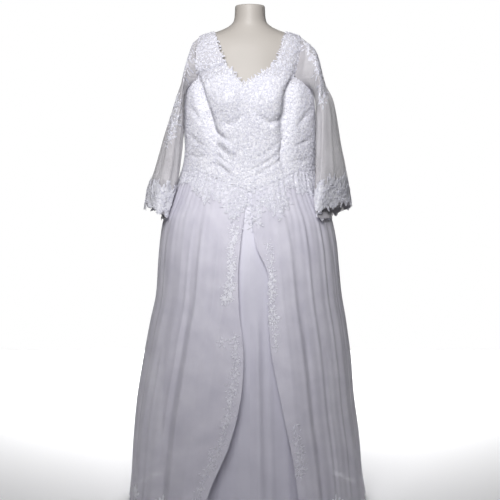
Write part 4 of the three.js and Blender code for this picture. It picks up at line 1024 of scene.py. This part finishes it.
# %% Sleeves
sleeves = {}
for side in SIDES:
    sleeves[side] = folded_sleeve(side)
    sleeve = wall("dress_sleeve_" + side, sleeves[side], 0.8, SLEEVE_NET)
    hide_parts("sleeve_" + side)
    cut(sleeve, sleeves[side])

# %% [markdown]
# ## The skirts
# The satin underskirt hangs straighter than the net over it, which stands off it at the sides.
# Both are gathered into the waist seam. The net opens at the front in a narrow upturned V.

# %% Skirts
LOW_ROWS = 1.35  # rows are closer together under the waist, where the gathers are small
CROWDED = 0.35  # and columns at the front


def skirt_shares(t):
    """The share of the way round at even steps of the columns."""
    return t - CROWDED / (2 * np.pi) * np.sin(2 * np.pi * t)


def overskirt_place(t, w):
    """The net's angle and height. Its edges follow the opening at the front."""
    u, v = skirt_shares(t), w**LOW_ROWS
    at_waist = mix(SPLIT["right"](FRONT_WAIST), 360 + SPLIT["left"](FRONT_WAIST), u)
    z = mix(waist_z(at_waist), HEM, v)
    return mix(SPLIT["right"](z), 360 + SPLIT["left"](z), u), z


SATIN_BELOW = 1  # the satin starts this far under the waist seam


def underskirt_place(t, w):
    """The satin's angle and height."""
    return 360 * t, mix(waist_z(360 * t) - SATIN_BELOW, SATIN_HEM, w**LOW_ROWS)


OVER_COLUMNS, OVER_ROWS = 580, 84
UNDER_COLUMNS, UNDER_ROWS = 360, 64
overskirt_cloth = sheet_grid(overskirt_point, overskirt_place, OVER_COLUMNS, OVER_ROWS)
overskirt = wall("dress_overskirt", overskirt_cloth, 0.8, SKIRT_NET)
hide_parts("overskirt")
underskirt_cloth = sheet_grid(
    underskirt_point, underskirt_place, UNDER_COLUMNS, UNDER_ROWS, closed=True
)
underskirt = wall("dress_underskirt", underskirt_cloth, 1.2, SATIN)
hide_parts("underskirt")
cut(underskirt, underskirt_cloth)
cut(overskirt, overskirt_cloth)


def on_skirt(deg, z):
    """The row and column of the overskirt at an angle and a height."""
    deg, z = np.asarray(deg, float) % 360, np.asarray(z, float)
    right, left = SPLIT["right"](z), 360 + SPLIT["left"](z)
    u = (deg - right) / (left - right)
    at_waist = mix(SPLIT["right"](FRONT_WAIST), 360 + SPLIT["left"](FRONT_WAIST), np.clip(u, 0, 1))
    v = np.clip((waist_z(at_waist) - z) / (waist_z(at_waist) - HEM), 0, 1.02)
    t = np.linspace(0, 1, 2001)
    return v ** (1 / LOW_ROWS) * (OVER_ROWS - 1), np.interp(u, skirt_shares(t), t) * (OVER_COLUMNS - 1)

# %% [markdown]
# ## Lace motifs
# Corded lace is made of small flowers and leaves: fine thread fills each one, and a thicker cord
# runs round its edge. Each kind of flower, leaf, bud and stitch is drawn here once. It has an
# edge that lies on the cloth, a raised rim for the cord and a lower middle, and few enough faces
# to be laid hundreds of times. A stem is a single cord.


# %% Motifs
RIM, MIDDLE_HEIGHT = 0.8, 0.3  # where a motif's cord runs, and how high its middle is beside it


def motif(outline, middle=(0, 0)):
    """The points, heights and triangles of a motif, in shares of its size."""
    outline, middle = np.array(outline, float), np.array(middle, float)
    n, i = len(outline), np.arange(len(outline))
    k = (i + 1) % n
    flat = np.concatenate([outline, middle + (outline - middle) * RIM, [middle]])
    height = np.concatenate([np.zeros(n), np.ones(n), [MIDDLE_HEIGHT]])
    triangles = [(i, k, n + k), (i, n + k, n + i), (n + i, n + k, np.full(n, 2 * n))]
    return flat, height, np.concatenate([np.stack(t, -1) for t in triangles])


def round_outline(radii, degrees):
    """Points round a middle."""
    a = np.radians(degrees)
    return np.stack([radii * np.cos(a), radii * np.sin(a)], -1)


def stem(points, wide):
    """A curved cord with a raised middle."""
    points = np.array(points, float)
    along = np.gradient(points, axis=0)
    side = np.stack([-along[:, 1], along[:, 0]], -1) / np.linalg.norm(along, axis=1, keepdims=True) * wide
    n, i = len(points), np.arange(len(points) - 1)
    flat = np.concatenate([points - side, points, points + side])
    height = np.concatenate([np.zeros(n), np.ones(n), np.zeros(n)])
    quads = [(i, i + 1, n + i + 1, n + i), (n + i, n + i + 1, 2 * n + i + 1, 2 * n + i)]
    triangles = [t for a, b, c, d in quads for t in (np.stack([a, b, c], -1), np.stack([a, c, d], -1))]
    return flat, height, np.concatenate(triangles)


LEAF_EDGE = [(0, 0), (0.3, -0.16), (0.65, -0.15), (1, 0), (0.65, 0.15), (0.3, 0.16)]
PETAL_RADII = np.tile([0.24, 0.49, 0.49], 5)
PETAL_TURNS = np.add.outer(72 * np.arange(5), [0, 23, 49]).ravel()
MOTIFS = {
    "flower": motif(round_outline(PETAL_RADII, PETAL_TURNS)),
    "rosette": motif(round_outline(np.tile([0.5, 0.38], 6), 30 * np.arange(12))),
    "leaf": motif(LEAF_EDGE, (0.48, 0)),
    "fern": motif(
        [(0, 0), (0.2, -0.12), (0.34, -0.1), (0.5, -0.2), (0.62, -0.13), (0.8, -0.16), (1, 0),
         (0.8, 0.16), (0.62, 0.13), (0.5, 0.2), (0.34, 0.1), (0.2, 0.12)], (0.5, 0)),
    "bud": motif([(-0.5, 0), (0, -0.34), (0.5, 0), (0, 0.34)]),
    "stitch": motif([(-0.5, 0), (0, -0.16), (0.5, 0), (0, 0.16)]),
    "stem": stem([(0, 0), (0.25, 0.07), (0.5, 0.06), (0.75, -0.02), (1, -0.14)], 0.045),
}


# %% Lace gathered from motifs
laces = {}


class Lace:
    """Motifs gathered for one piece of lace on one sheet."""

    def __init__(self, cloth, lift=0.9, cord=0.7):
        self.cloth, self.lift, self.cord, self.spots = cloth, lift, cord, []

    def put(self, kind, row, column, size, angle=0.0, away=0.0, turn=0.0):
        """Adds a motif. It may stand some millimetres away from its place, towards turn."""
        a = np.radians(turn)
        self.spots.append((kind, row, column, size, angle, away * np.cos(a), away * np.sin(a)))

    def spray(self, row, column, size, leaves=5, angle=0.0, flower="flower"):
        """A flower with leaves round it."""
        self.put(flower, row, column, size * 0.62, angle)
        for i in range(leaves):
            turn = angle + 360 * i / leaves + random.uniform(-9, 9)
            kind = "fern" if i % 2 else "leaf"
            self.put(kind, row, column, size * random.uniform(0.48, 0.66), turn, size * 0.33, turn)

    def mesh(self):
        """The points and triangles of all the motifs, and each corner's flat place."""
        points, triangles, uv, used = [], [], [], 0
        for kind, (flat, height, faces) in MOTIFS.items():
            spots = np.array([spot[1:] for spot in self.spots if spot[0] == kind], float)
            if not len(spots):
                continue
            row, column, size, angle, right, up = spots.T
            c, s = np.cos(np.radians(angle))[:, None], np.sin(np.radians(angle))[:, None]
            x, y = flat[:, 0] * size[:, None], flat[:, 1] * size[:, None]
            local = np.stack([x * c - y * s + right[:, None], x * s + y * c + up[:, None]], -1)
            laid = self.cloth.lay(row, column, local, self.lift + self.cord * height[None] + 0 * x)
            points.append(laid.reshape(-1, 3))
            uv.append(np.stack([x, y], -1).reshape(-1, 2) / 1000)
            starts = used + len(flat) * np.arange(len(spots))
            triangles.append((starts[:, None, None] + faces).reshape(-1, 3))
            used += len(flat) * len(spots)
        points, triangles, uv = np.concatenate(points), np.concatenate(triangles), np.concatenate(uv)
        return points, triangles, uv[triangles]

    def piece(self, name, material=None):
        """Makes the piece, and keeps the lace for the sequins and beads."""
        points, triangles, corner_uv = self.mesh()
        made = new_piece(name, points, triangles, corner_uv, material or LACE)
        laces[name] = self
        a, b, c = (points[triangles[:, i]] for i in range(3))
        self.area = np.linalg.norm(np.cross(b - a, c - a), axis=1).sum() / 2e6
        print(f"{name}: {len(self.spots)} motifs, {len(triangles)} faces, {self.area:.4f} m2")
        return made

    def cut(self, piece, width, length, rests_on):
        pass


# %% Even places on a sheet
def staggered(cloth, spacing, jitter=0.25, first=0.0, last=1.0):
    """Rows and columns of places about spacing millimetres apart, in uneven staggered lines."""
    places = []
    heights = cloth.v * 1000
    # Lines 0.87 of the spacing apart make every place as far from the next line as from its own.
    for line, height in enumerate(np.arange(spacing * 0.4, heights[-1], spacing * 0.87)):
        row = np.interp(height, heights, np.arange(cloth.rows))
        if not first <= row / (cloth.rows - 1) <= last:
            continue
        ring = cloth.points[int(round(row))]
        ring = np.concatenate([ring, ring[:1]]) if cloth.closed else ring
        along = np.concatenate([[0], np.cumsum(np.linalg.norm(np.diff(ring, axis=0), axis=1))])
        count = max(1, round(along[-1] / spacing))
        for i in range(count):
            share = (i + 0.5 + 0.25 * (-1) ** line + random.uniform(-jitter, jitter)) / count
            column = np.interp(share * along[-1], along, np.arange(len(along)))
            shift = random.uniform(-jitter, jitter) * spacing / heights[-1] * cloth.rows
            places.append((np.clip(row + shift, 0, cloth.rows - 1), column))
    return places


# %% [markdown]
# ## Lace on the bodice
# The whole bodice is covered with lace, close enough that little satin shows between the
# motifs. Along the neckline the leaves reach past the edge onto the form in uneven peaks.

# %% Bodice lace
bodice_laces = {}
for name, cloth in panels.items():
    bodice_lace = Lace(cloth, lift=0.95, cord=0.8)
    for row, column in staggered(cloth, 25, jitter=0.35):
        flower = "flower" if random.random() < 0.6 else "rosette"
        bodice_lace.spray(row, column, random.uniform(20, 29), 5, random.uniform(0, 72), flower)
    for row, column in staggered(cloth, 17, jitter=0.45):
        bodice_lace.put("bud", row, column, random.uniform(4, 8), random.uniform(0, 180))
    for column in np.arange(0, cloth.columns, 3 if name == "centre_front" else 2):
        bodice_lace.put("fern", 0.5, column, random.uniform(10, 18), random.uniform(-60, 60))
        bodice_lace.put("leaf", cloth.rows - 1.5, column, random.uniform(9, 14), random.uniform(20, 160))
    bodice_laces[name] = bodice_lace
# The peaks of the neckline: share across the centre front, size of the fern, and its lean.
NECK_PEAKS = [
    (0.27, 20, 95), (0.31, 13, 60), (0.34, 19, 78), (0.38, 9, 50), (0.42, 12, 55), (0.47, 8, 40),
    (0.53, 9, 140), (0.56, 12, 125), (0.60, 9, 130), (0.65, 22, 110), (0.69, 12, 125), (0.73, 24, 88),
]
neck, front = bodice_laces["centre_front"], panels["centre_front"]
for share, size, lean in NECK_PEAKS:
    row, column = front.rows - 3, share * (front.columns - 1)
    neck.put("fern", row, column, size, lean)
    neck.put("leaf", row, column + 1.5, size * 0.7, lean + 28)
    neck.put("flower", row - 2, column + 0.5, 13, lean)
for name, bodice_lace in bodice_laces.items():
    laid = bodice_lace.piece("lace_bodice_" + name)
    bodice_lace.cut(laid, *flat_size(panels[name]), "dress_bodice_" + name)

# %% Strap lace
for side, cloth in straps.items():
    strap_lace = Lace(cloth, lift=0.95, cord=0.8)
    for row, column in staggered(cloth, 23):
        strap_lace.spray(row, column, random.uniform(21, 27), 5, random.uniform(0, 72))
    for row in np.arange(2, 58, 4.2):
        lean = 180 if SIDES[side] > 0 else 0
        strap_lace.put("fern", row, 0.6, random.uniform(8, 20), lean + random.uniform(-60, 60))
        strap_lace.put("leaf", row + 2, 0.4, random.uniform(8, 14), lean + random.uniform(-60, 60))
    for column in np.arange(1, 16, 2.5):
        for row in (0.3, 59.7):
            strap_lace.spray(row, column, random.uniform(17, 24), 5, random.uniform(0, 72))
    laid = strap_lace.piece("lace_strap_" + side)
    strap_lace.cut(laid, *flat_size(cloth), "dress_strap_" + side)

# %% [markdown]
# ## Lace below the waist
# The bodice's lace doesn't stop at the waist seam: it hangs over the skirt in points of uneven
# length. Its ground is a fine net cut to the same points.

# %% Waist lace
# Angle of each point of the lace's lower edge, and how far it hangs under the waist seam.
DROPS = np.array(
    [(-180, 52), (-150, 60), (-120, 50), (-90, 62), (-80, 78), (-70, 50), (-60, 42), (-52, 48), (-46, 70),
     (-40, 62), (-36, 76), (-31, 95), (-27, 58), (-23, 74), (-19, 62), (-15, 95), (-10, 112), (-6, 90),
     (-2, 48), (2, 90), (5, 140), (8, 66), (12, 80), (16, 100), (19, 132), (22, 100), (26, 88), (29, 46),
     (32, 28), (36, 40), (40, 66), (46, 84), (50, 70), (56, 96), (60, 60), (66, 44), (74, 70), (82, 52),
     (90, 66), (120, 50), (150, 60), (180, 52)], float
).T


def drop_at(deg):
    """How far the lace hangs under the waist seam at an angle."""
    return np.interp((np.asarray(deg, float) + 180) % 360 - 180, DROPS[0], DROPS[1])


# %% Lace over the waist seam
WAIST_SPANS = {"right": (1.3, 179.6), "left": (180.4, 358.7)}
GROUND = net("lace_ground", (0.74, 0.73, 0.83), (0.90, 0.89, 0.96), 0.4, 0.8, cell=0.0016)
CUFF_GROUND = net("cuff_ground", (0.78, 0.78, 0.86), (0.93, 0.93, 0.98), 0.55, 0.85, cell=0.0016)
for side, (start, stop) in WAIST_SPANS.items():
    deg, share = np.meshgrid(np.linspace(start, stop, 260), np.linspace(0, 1, 14))
    z = waist_z(deg) - 2 - share * (drop_at(deg) - 8)
    ground = Cloth(overskirt_cloth.at(*on_skirt(deg, z), lift=1.1)[0])
    band = wall("lace_ground_waist_" + side, ground, 0.5, GROUND)
    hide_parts("basque_lace_" + side)
    waist_lace = Lace(overskirt_cloth, lift=1.6, cord=0.8)
    for at in np.arange(start + 2, stop, 5.6):
        drop = float(drop_at(at))
        for down in np.arange(12, drop - 8, 21):
            height = waist_z(at) - down + random.uniform(-4, 4)
            turn = at + random.uniform(-1.5, 1.5) + (2.8 if (down // 21) % 2 else 0)
            row, column = on_skirt(np.clip(turn, start + 1, stop - 1), height)
            waist_lace.spray(row, column, random.uniform(21, 27), 5, random.uniform(0, 72))
    for at in np.arange(start + 1.5, stop - 1, 2.7):
        row, column = on_skirt(at, waist_z(at) - drop_at(at) + 14)
        slope = drop_at(at + 2) - drop_at(at - 2)
        size, lean = random.uniform(10, 23), -90 - np.clip(slope, -30, 30) + random.uniform(-50, 50)
        waist_lace.put("fern", row, column, size, lean)
        size, lean = random.uniform(10, 16), random.uniform(0, 72)
        away, turn = random.uniform(0, 8), random.uniform(0, 360)
        waist_lace.put("flower", row, column, size, lean, away, turn)
    for at in np.arange(start, stop, 1.3):
        row, column = on_skirt(at, waist_z(at) - 3)
        waist_lace.put("leaf", row, column, random.uniform(9, 15), 90 + random.uniform(-75, 75))
    hung = waist_lace.piece("lace_waist_" + side)
    cut(band, ground)

# %% Lace at the tip of the waist seam
# A few motifs lie on the satin in the net's opening, under the tip of the waist seam: angle,
# height and size of each.
TIP_SPRAYS = [
    (0.4, 1032, 22), (-0.8, 1010, 24), (1.6, 990, 25), (-1.2, 966, 24), (1.2, 944, 22), (3.4, 925, 17),
]
tip_lace = Lace(underskirt_cloth, lift=1.2, cord=0.9)
for deg, z, size in TIP_SPRAYS:
    up = (z - SATIN_HEM) / (waist_z(deg) - SATIN_BELOW - SATIN_HEM)
    row = (1 - up) ** (1 / LOW_ROWS) * (UNDER_ROWS - 1)
    tip_lace.spray(row, deg % 360, size, 6, random.uniform(0, 72))
laid = tip_lace.piece("lace_waist_tip")
tip_lace.cut(laid, 0.08, 0.15, "dress_underskirt")

# %% [markdown]
# ## Lace down the skirt
# Sprays of lace climb both front edges of the net. Each one follows a path drawn on the skirt.
# Its stem bends from side to side, and leaves, flowers and buds are strewn about it, close
# together in some stretches and sparse in others. Four larger sprigs stand above the hem.

# %% Trails and sprigs
# Angle and height of the points of each path, and how full the trail is there.
TRAILS = {
    "upper_left": [
        (-8, 940, 1), (-9.2, 900, 0.9), (-9.8, 868, 0.3), (-9.6, 836, 0.8), (-9.4, 800, 0.4),
        (-9.8, 768, 1), (-11.2, 735, 1), (-12.6, 716, 0.8),
    ],
    "lower_left": [
        (-6.8, 600, 0.5), (-6.2, 548, 0.8), (-5.8, 500, 0.7), (-7.6, 452, 0.9), (-8.4, 404, 0.7),
        (-9.2, 352, 0.9), (-11.2, 300, 0.6), (-14.2, 250, 1), (-17.4, 200, 0.8), (-21, 140, 0.5),
        (-24, 90, 0.4),
    ],
    "upper_right": [
        (9.6, 890, 0.5), (11.6, 852, 0.2), (12.2, 810, 0.25), (11.4, 770, 0.9), (11.2, 730, 0.8),
        (12, 690, 0.3), (12, 660, 0.9), (12.6, 620, 0.4), (13.2, 570, 0.2),
    ],
    "lower_right": [(21.4, 330, 0.4), (22.6, 280, 0.6), (23.2, 230, 0.8), (22.8, 180, 0.8)],
}
TRAIL_STEP = 0.24  # the distance between stems, as a share of a stretch of the path
MOST_LEAVES = 8
# The flat width of a trail's lace, and its length for each point of the path, in metres.
TRAIL_WIDTHS, TRAIL_STRETCH = {"upper": 0.055, "lower": 0.075}, 0.04
for name, path in TRAILS.items():
    trail = Lace(overskirt_cloth, lift=0.9, cord=0.9)
    path = np.array(path, float)
    for i, at in enumerate(np.arange(0, len(path) - 0.8, TRAIL_STEP)):
        deg, z, full = (np.interp(at, np.arange(len(path)), column) for column in path.T)
        side = 1 if i % 2 else -1
        row, column = on_skirt(deg + random.uniform(-0.5, 0.5), z)
        trail.put("stem", row, column, 20, -90 + side * random.uniform(0, 20))
        for _ in range(round(MOST_LEAVES * full)):
            away, turn = random.uniform(0, 6 + 13 * full), random.uniform(0, 360)
            trail.put("leaf", row, column, random.uniform(6, 12), turn + random.uniform(-50, 50), away, turn)
        if random.random() < full:
            size, lean, away = random.uniform(9, 14), random.uniform(0, 72), random.normal(0, 7 * full)
            trail.put("flower", row, column, size, lean, away, 0)
            size, lean, away = random.uniform(5, 8), random.uniform(0, 180), random.normal(0, 12 * full)
            trail.put("bud", row, column, size, lean, away, 20)
        if random.random() < full - 0.35:
            size, lean = random.uniform(12, 18), -90 + side * random.uniform(20, 70)
            trail.put("fern", row, column, size, lean, 4, 90 - 90 * side)
    if name == "lower_left":
        trail.spray(*on_skirt(-13.6, 585), 24, 5, 20)
    applique = trail.piece("lace_trailing_" + name, FAINT_LACE if "lower" in name else TRAIL_LACE)
    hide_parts("lace_trail_" + name)
    width, length = TRAIL_WIDTHS[name.split("_")[0]], round(TRAIL_STRETCH * len(path), 2)
    trail.cut(applique, width, length, "dress_overskirt")

# %% Sprigs above the hem
# The angle of each sprig, and the lean and size of its leaves.
SPRIGS, SPRIG_Z = {"outer_left": -66, "inner_left": -42, "right": 44, "back": 168}, 58
SPRIG_LEAVES = [(90, 40), (58, 30), (122, 30), (28, 34), (152, 34), (0, 20), (180, 20)]
for name, deg in SPRIGS.items():
    sprig = Lace(overskirt_cloth, lift=0.9, cord=0.9)
    for lean, size in SPRIG_LEAVES:
        sprig.put("fern", *on_skirt(deg, SPRIG_Z), size, lean, 4, lean)
    sprig.put("stem", *on_skirt(deg, SPRIG_Z), 30, -96)
    sprig.put("flower", *on_skirt(deg, SPRIG_Z + 2), 20, 12)
    applique = sprig.piece("hem_sprig_lace_" + name, TRAIL_LACE)
    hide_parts("hem_sprig_" + name)
    sprig.cut(applique, 0.09, 0.08, "dress_overskirt")

# %% [markdown]
# ## Lace on the sleeves
# Each sleeve has a wide spray over the shoulder, a smaller one down the arm, and a deep cuff
# whose scalloped edge hangs a little past the end of the net in places.

# %% Caps, arm sprays and cuffs
# Turn and ring of the middle of each spray, and how far it spreads in turns and rings. Here the
# rings are counted from the armhole's seam, which is 0, to the end of the net, which is 9.
SLEEVE_SPRAYS = {
    "left": {"cap": (0.885, 1.7, 0.12, 1.7), "arm": (0.825, 4.65, 0.10, 0.9)},
    "right": {"cap": (0.885, 1.7, 0.12, 1.6), "arm": (0.84, 3.9, 0.12, 0.95)},
}
SPRAY_SIZES = {"cap": 0.20, "arm": 0.13}  # side of the flat square of lace, in metres
CLEAR_ROWS = 4  # the sprays stay this far from the armhole's seam
# The cuff between the rings of its two edges. Towards each edge its outline turns wavy, from
# the first ring of a pair on and over the second number of rings.
CUFF_TOP, CUFF_END = 7.65, 8.98
SCALLOPED, PEAKED = (8.35, 0.6), (8.5, 0.85)
EDGE_MOTIFS = 44


def scallops(turn):
    """How far the cuff's lower edge hangs past its mean, in rings."""
    return 0.11 * np.cos(18 * np.pi * turn) + 0.05 * np.cos(46 * np.pi * turn + 1)


def peaks(turn):
    """How far the cuff's upper edge climbs past its mean, in rings."""
    return 0.16 * np.cos(14 * np.pi * turn + 0.5) + 0.09 * np.cos(34 * np.pi * turn)


# %% Lace laid on the sleeves
for side, cloth in sleeves.items():
    for part, (turn, ring, wide, tall) in SLEEVE_SPRAYS[side].items():
        sleeve_lace = Lace(cloth, lift=0.6, cord=0.8)
        for row, column in staggered(cloth, 25, jitter=0.3):
            aside = (column / cloth.columns - turn + 0.5) % 1 - 0.5
            off = np.hypot(aside / wide, (row / ROWS_PER_RING - ring) / tall)
            uneven = 0.86 + 0.22 * np.sin(9 * column) * np.sin(5 * row)
            if row > CLEAR_ROWS and off < uneven:
                sleeve_lace.spray(row, column, random.uniform(26, 38), 5, random.uniform(0, 72))
        sprayed = sleeve_lace.piece(f"lace_sleeve_{part}_{side}")
        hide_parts(f"sleeve_{part}_lace_{side}")
        sleeve_lace.cut(sprayed, SPRAY_SIZES[part], SPRAY_SIZES[part], "dress_sleeve_" + side)
    turn, ring = np.meshgrid(np.arange(180) / 180, np.linspace(CUFF_TOP, CUFF_END, 20))
    low = np.clip((ring - SCALLOPED[0]) / SCALLOPED[1], 0, 1)
    high = np.clip((PEAKED[0] - ring) / PEAKED[1], 0, 1)
    ring = ring + low * scallops(turn) - high * peaks(turn)
    ground = Cloth(cloth.at(ring * ROWS_PER_RING, turn * cloth.columns, lift=1.7)[0], closed=True)
    band = wall("lace_ground_cuff_" + side, ground, 0.5, CUFF_GROUND)
    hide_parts("sleeve_cuff_lace_" + side)
    cuff_lace = Lace(cloth, lift=2.1, cord=0.9)
    for row, column in staggered(cloth, 30, jitter=0.4, first=7.9 / 9, last=8.7 / 9):
        cuff_lace.spray(row, column, random.uniform(32, 48), 5, random.uniform(0, 72))
    for i in range(EDGE_MOTIFS):
        turn = (i + random.uniform(-0.3, 0.3)) / EDGE_MOTIFS
        column = turn * cloth.columns
        low_edge = (CUFF_END + scallops(turn)) * ROWS_PER_RING - 1.0
        high_edge = (CUFF_TOP - peaks(turn)) * ROWS_PER_RING + 1.2
        cuff_lace.put("flower", low_edge, column, random.uniform(13, 19), random.uniform(0, 72))
        cuff_lace.put("fern", high_edge, column, random.uniform(14, 26), 90 + random.uniform(-50, 50))
    hung = cuff_lace.piece("lace_cuff_" + side)
    cut(band, ground)

# %% [markdown]
# ## Sequins and beads
# Small sequins with a point in the middle catch the light. They are sewn all over the bodice and
# the straps, and round the flowers of the other lace, and a bead sits in many of the flowers.
# Each is modelled once, and the copies of a region are joined into one piece.

# %% One sequin and one bead
GLINT, shader, add, link = finish("sequin", (0.95, 0.95, 0.98), 0.16)
place = add("TexCoord").outputs["Object"]
tone = tinted(add, blotches(add, place, 300, 0, 1), (0.80, 0.80, 0.92), (0.98, 0.98, 0.99))
link(tone, shader.inputs["Base Color"])


def modelled(kind):
    """The corners and faces of one small shape, in millimetres, standing on its middle."""
    deselect()
    if kind == "sequin":
        bpy.ops.mesh.primitive_cone_add(vertices=6, radius1=0.0017, depth=0.0006)
    else:
        bpy.ops.mesh.primitive_ico_sphere_add(subdivisions=1, radius=0.0014)
    shape = bpy.context.object
    bpy.ops.object.mode_set(mode="EDIT")
    bpy.ops.mesh.select_all(action="SELECT")
    bpy.ops.mesh.quads_convert_to_tris()
    bpy.ops.object.mode_set(mode="OBJECT")
    corners = np.array([v.co[:] for v in shape.data.vertices]) * 1000
    faces = np.array([face.vertices[:] for face in shape.data.polygons])
    bpy.data.objects.remove(shape)
    return corners, faces


SHAPES = {kind: modelled(kind) for kind in ("sequin", "bead")}


def sewn(name, kind, places, tilt):
    """Copies of a sequin or bead at (cloth, row, column, lift), joined."""
    corners, faces = SHAPES[kind]
    points, all_faces = [], []
    for cloth, row, column, lift in places:
        spot, n = cloth.at(np.array(row, float), np.array(column, float), lift)
        n = n + random.normal(0, tilt, 3)
        n /= np.linalg.norm(n)
        side = np.cross(n, [0.3, 0.2, 1])
        side /= np.linalg.norm(side)
        turned = corners @ np.stack([side, np.cross(n, side), n])
        all_faces.append(faces + len(corners) * len(points))
        points.append(turned + spot)
    points, all_faces = np.concatenate(points), np.concatenate(all_faces)
    corner_uv = points[all_faces][..., :2] / 1000
    new_piece(name, points, all_faces, corner_uv, GLINT, smooth=kind == "bead")
    print(f"{name}: {len(all_faces)} faces")


# %% Sewn on the lace
BODICE_LIFT = 2.2  # the bodice's sequins lie on top of its lace
SEQUIN_TILT, BEAD_TILT = 0.35, 0.1
SEQUINS_ROUND = 4  # sequins round each flower that isn't on the bodice
bodice_places = []
for cloths, spacing in ((panels, 14), (straps, 16)):
    for cloth in cloths.values():
        spots = staggered(cloth, spacing, jitter=0.5)
        bodice_places += [(cloth, *spot, BODICE_LIFT) for spot in spots]
sewn("sequins_bodice", "sequin", bodice_places, SEQUIN_TILT)
for region in ("bodice", "waist", "trail", "sleeve", "cuff"):
    beads, sequins = [], []
    for name, worn in laces.items():
        if not name.startswith("lace_" + region) or "back" in name:
            continue
        top = worn.lift + worn.cord + 0.3
        for kind, row, column, size, angle, right, up in worn.spots:
            if kind in ("flower", "rosette") and abs(right) + abs(up) < 1:
                beads.append((worn.cloth, row, column, top + 0.3))
                for _ in range(SEQUINS_ROUND if region != "bodice" else 0):
                    near = (row + random.uniform(-1, 1), column + random.uniform(-2.5, 2.5))
                    sequins.append((worn.cloth, *near, top))
    sewn("beads_" + region, "bead", beads, BEAD_TILT)
    if sequins:
        sewn("sequins_" + region, "sequin", sequins, SEQUIN_TILT)

# %% [markdown]
# ## Stitching
# The hem of the satin, the edges of the net and both sides of the placket are stitched with
# white thread. Each stitch is a short ridge of thread, laid along its line.


# %% Stitched lines
def stitched(name, cloth, lines, long=3.6, lift=0.75):
    """Stitches along lines of (rows, columns) on a sheet."""
    thread = Lace(cloth, lift=lift, cord=0.5)
    for rows, columns in lines:
        rows, columns = np.broadcast_arrays(np.asarray(rows, float), np.asarray(columns, float))
        points, normals = cloth.at(rows, columns)
        steps = np.gradient(points, axis=0)
        up = np.array([0, 0, 1.0]) - normals * normals[:, 2:]
        up /= np.linalg.norm(up, axis=1, keepdims=True)
        right = np.cross(up, normals)
        turns = np.degrees(np.unwrap(np.arctan2((steps * up).sum(1), (steps * right).sum(1))))
        along = np.concatenate([[0], np.cumsum(np.linalg.norm(np.diff(points, axis=0), axis=1))])
        for at in np.arange(0, along[-1], long * 1.35):
            row, column, turn = (np.interp(at, along, values) for values in (rows, columns, turns))
            thread.put("stitch", row, column, long, turn)
    thread.piece(name)


HEM_TURN = 0.012  # the stitches' distance from the satin's hem, as a share of its rows
hem_rows = (underskirt_cloth.rows - 1) * (1 - HEM_TURN)
around = np.linspace(0, underskirt_cloth.columns, 1441)
stitched("stitching_underskirt_hem", underskirt_cloth, [(hem_rows, around)], lift=0.8)
down = np.linspace(2, OVER_ROWS - 1.2, 400)
across = np.linspace(0.8, OVER_COLUMNS - 1.8, 2400)
edges = [(down, 0.7), (down, OVER_COLUMNS - 1.7), (OVER_ROWS - 1.15, across)]
stitched("stitching_net_edge", overskirt_cloth, edges, lift=0.5)
height = np.linspace(1, placket_cloth.rows - 2, 120)
stitched("stitching_placket", placket_cloth, [(height, 0.6), (height, placket_cloth.columns - 1.6)])

# %% [markdown]
# ## The studio
# A plain pale floor and a white background. A large soft light stands in front of the dress and
# above it, fairly close, so it falls off from the bodice down to the hem. A small one makes the
# sequins glint, one stands behind the dress, and one hangs over the floor behind it.

# %% Floor, lights and camera
deselect()
bpy.ops.mesh.primitive_plane_add(size=5.6, location=(0, 0, -0.001))
floor = bpy.context.object
floor.name = "studio_floor"
floor.data.materials.append(finish("floor_paint", (0.84, 0.84, 0.85), 0.9)[0])


def area_light(name, place, aim, size, watts, spread=180):
    """A round light at a place, turned to its aim. Its spread is in degrees."""
    light = bpy.data.lights.new(name, "AREA")
    light.shape, light.size, light.energy, light.spread = "DISK", size, watts, math.radians(spread)
    lamp = bpy.data.objects.new(name, light)
    lamp.location = place
    lamp.rotation_euler = (Vector(aim) - Vector(place)).to_track_quat("-Z", "Y").to_euler()
    bpy.context.scene.collection.objects.link(lamp)


area_light("key_light", (-0.25, -2.0, 2.3), (0, 0, 1.41), size=1.3, watts=18, spread=90)
area_light("glint_light", (0.05, -3.2, 2.3), (0, 0, 1.5), size=0.12, watts=5)
area_light("back_light", (0.2, 2.2, 2.3), (0, 0, 1.1), size=1.0, watts=8)
area_light("floor_light", (0, 2.3, 3.0), (0, 2.3, 0), size=1.8, watts=76, spread=92)

# %% White background and camera
# The white background is bright to the camera, and gives the dress only a little light.
SKY_LIGHT, SKY_SEEN = 0.05, 1.0
world = bpy.data.worlds.new("studio")
bpy.context.scene.world = world
world.use_nodes = True
sky = world.node_tree.nodes["Background"]
sky.inputs["Color"].default_value = (1, 1, 1, 1)
ray = world.node_tree.nodes.new("ShaderNodeLightPath")
level = world.node_tree.nodes.new("ShaderNodeMapRange")
level.inputs["To Min"].default_value = SKY_LIGHT
level.inputs["To Max"].default_value = SKY_SEEN
world.node_tree.links.new(ray.outputs["Is Camera Ray"], level.inputs["Value"])
world.node_tree.links.new(level.outputs[0], sky.inputs["Strength"])
bpy.context.scene.view_settings.view_transform = "Standard"

camera = bpy.data.objects.new("camera", bpy.data.cameras.new("camera"))
camera.location = (0, -3.5, 1.15)
aim = Vector((0, 0, 0.851)) - camera.location
camera.rotation_euler = aim.to_track_quat("-Z", "Y").to_euler()
camera.data.lens, camera.data.sensor_width = 75.3, 36
bpy.context.scene.collection.objects.link(camera)
bpy.context.scene.camera = camera

# %% Sizes and the end
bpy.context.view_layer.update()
meshes = [item.data for item in bpy.data.objects if item.type == "MESH"]
print("triangles", sum(len(face.vertices) - 2 for mesh in meshes for face in mesh.polygons))
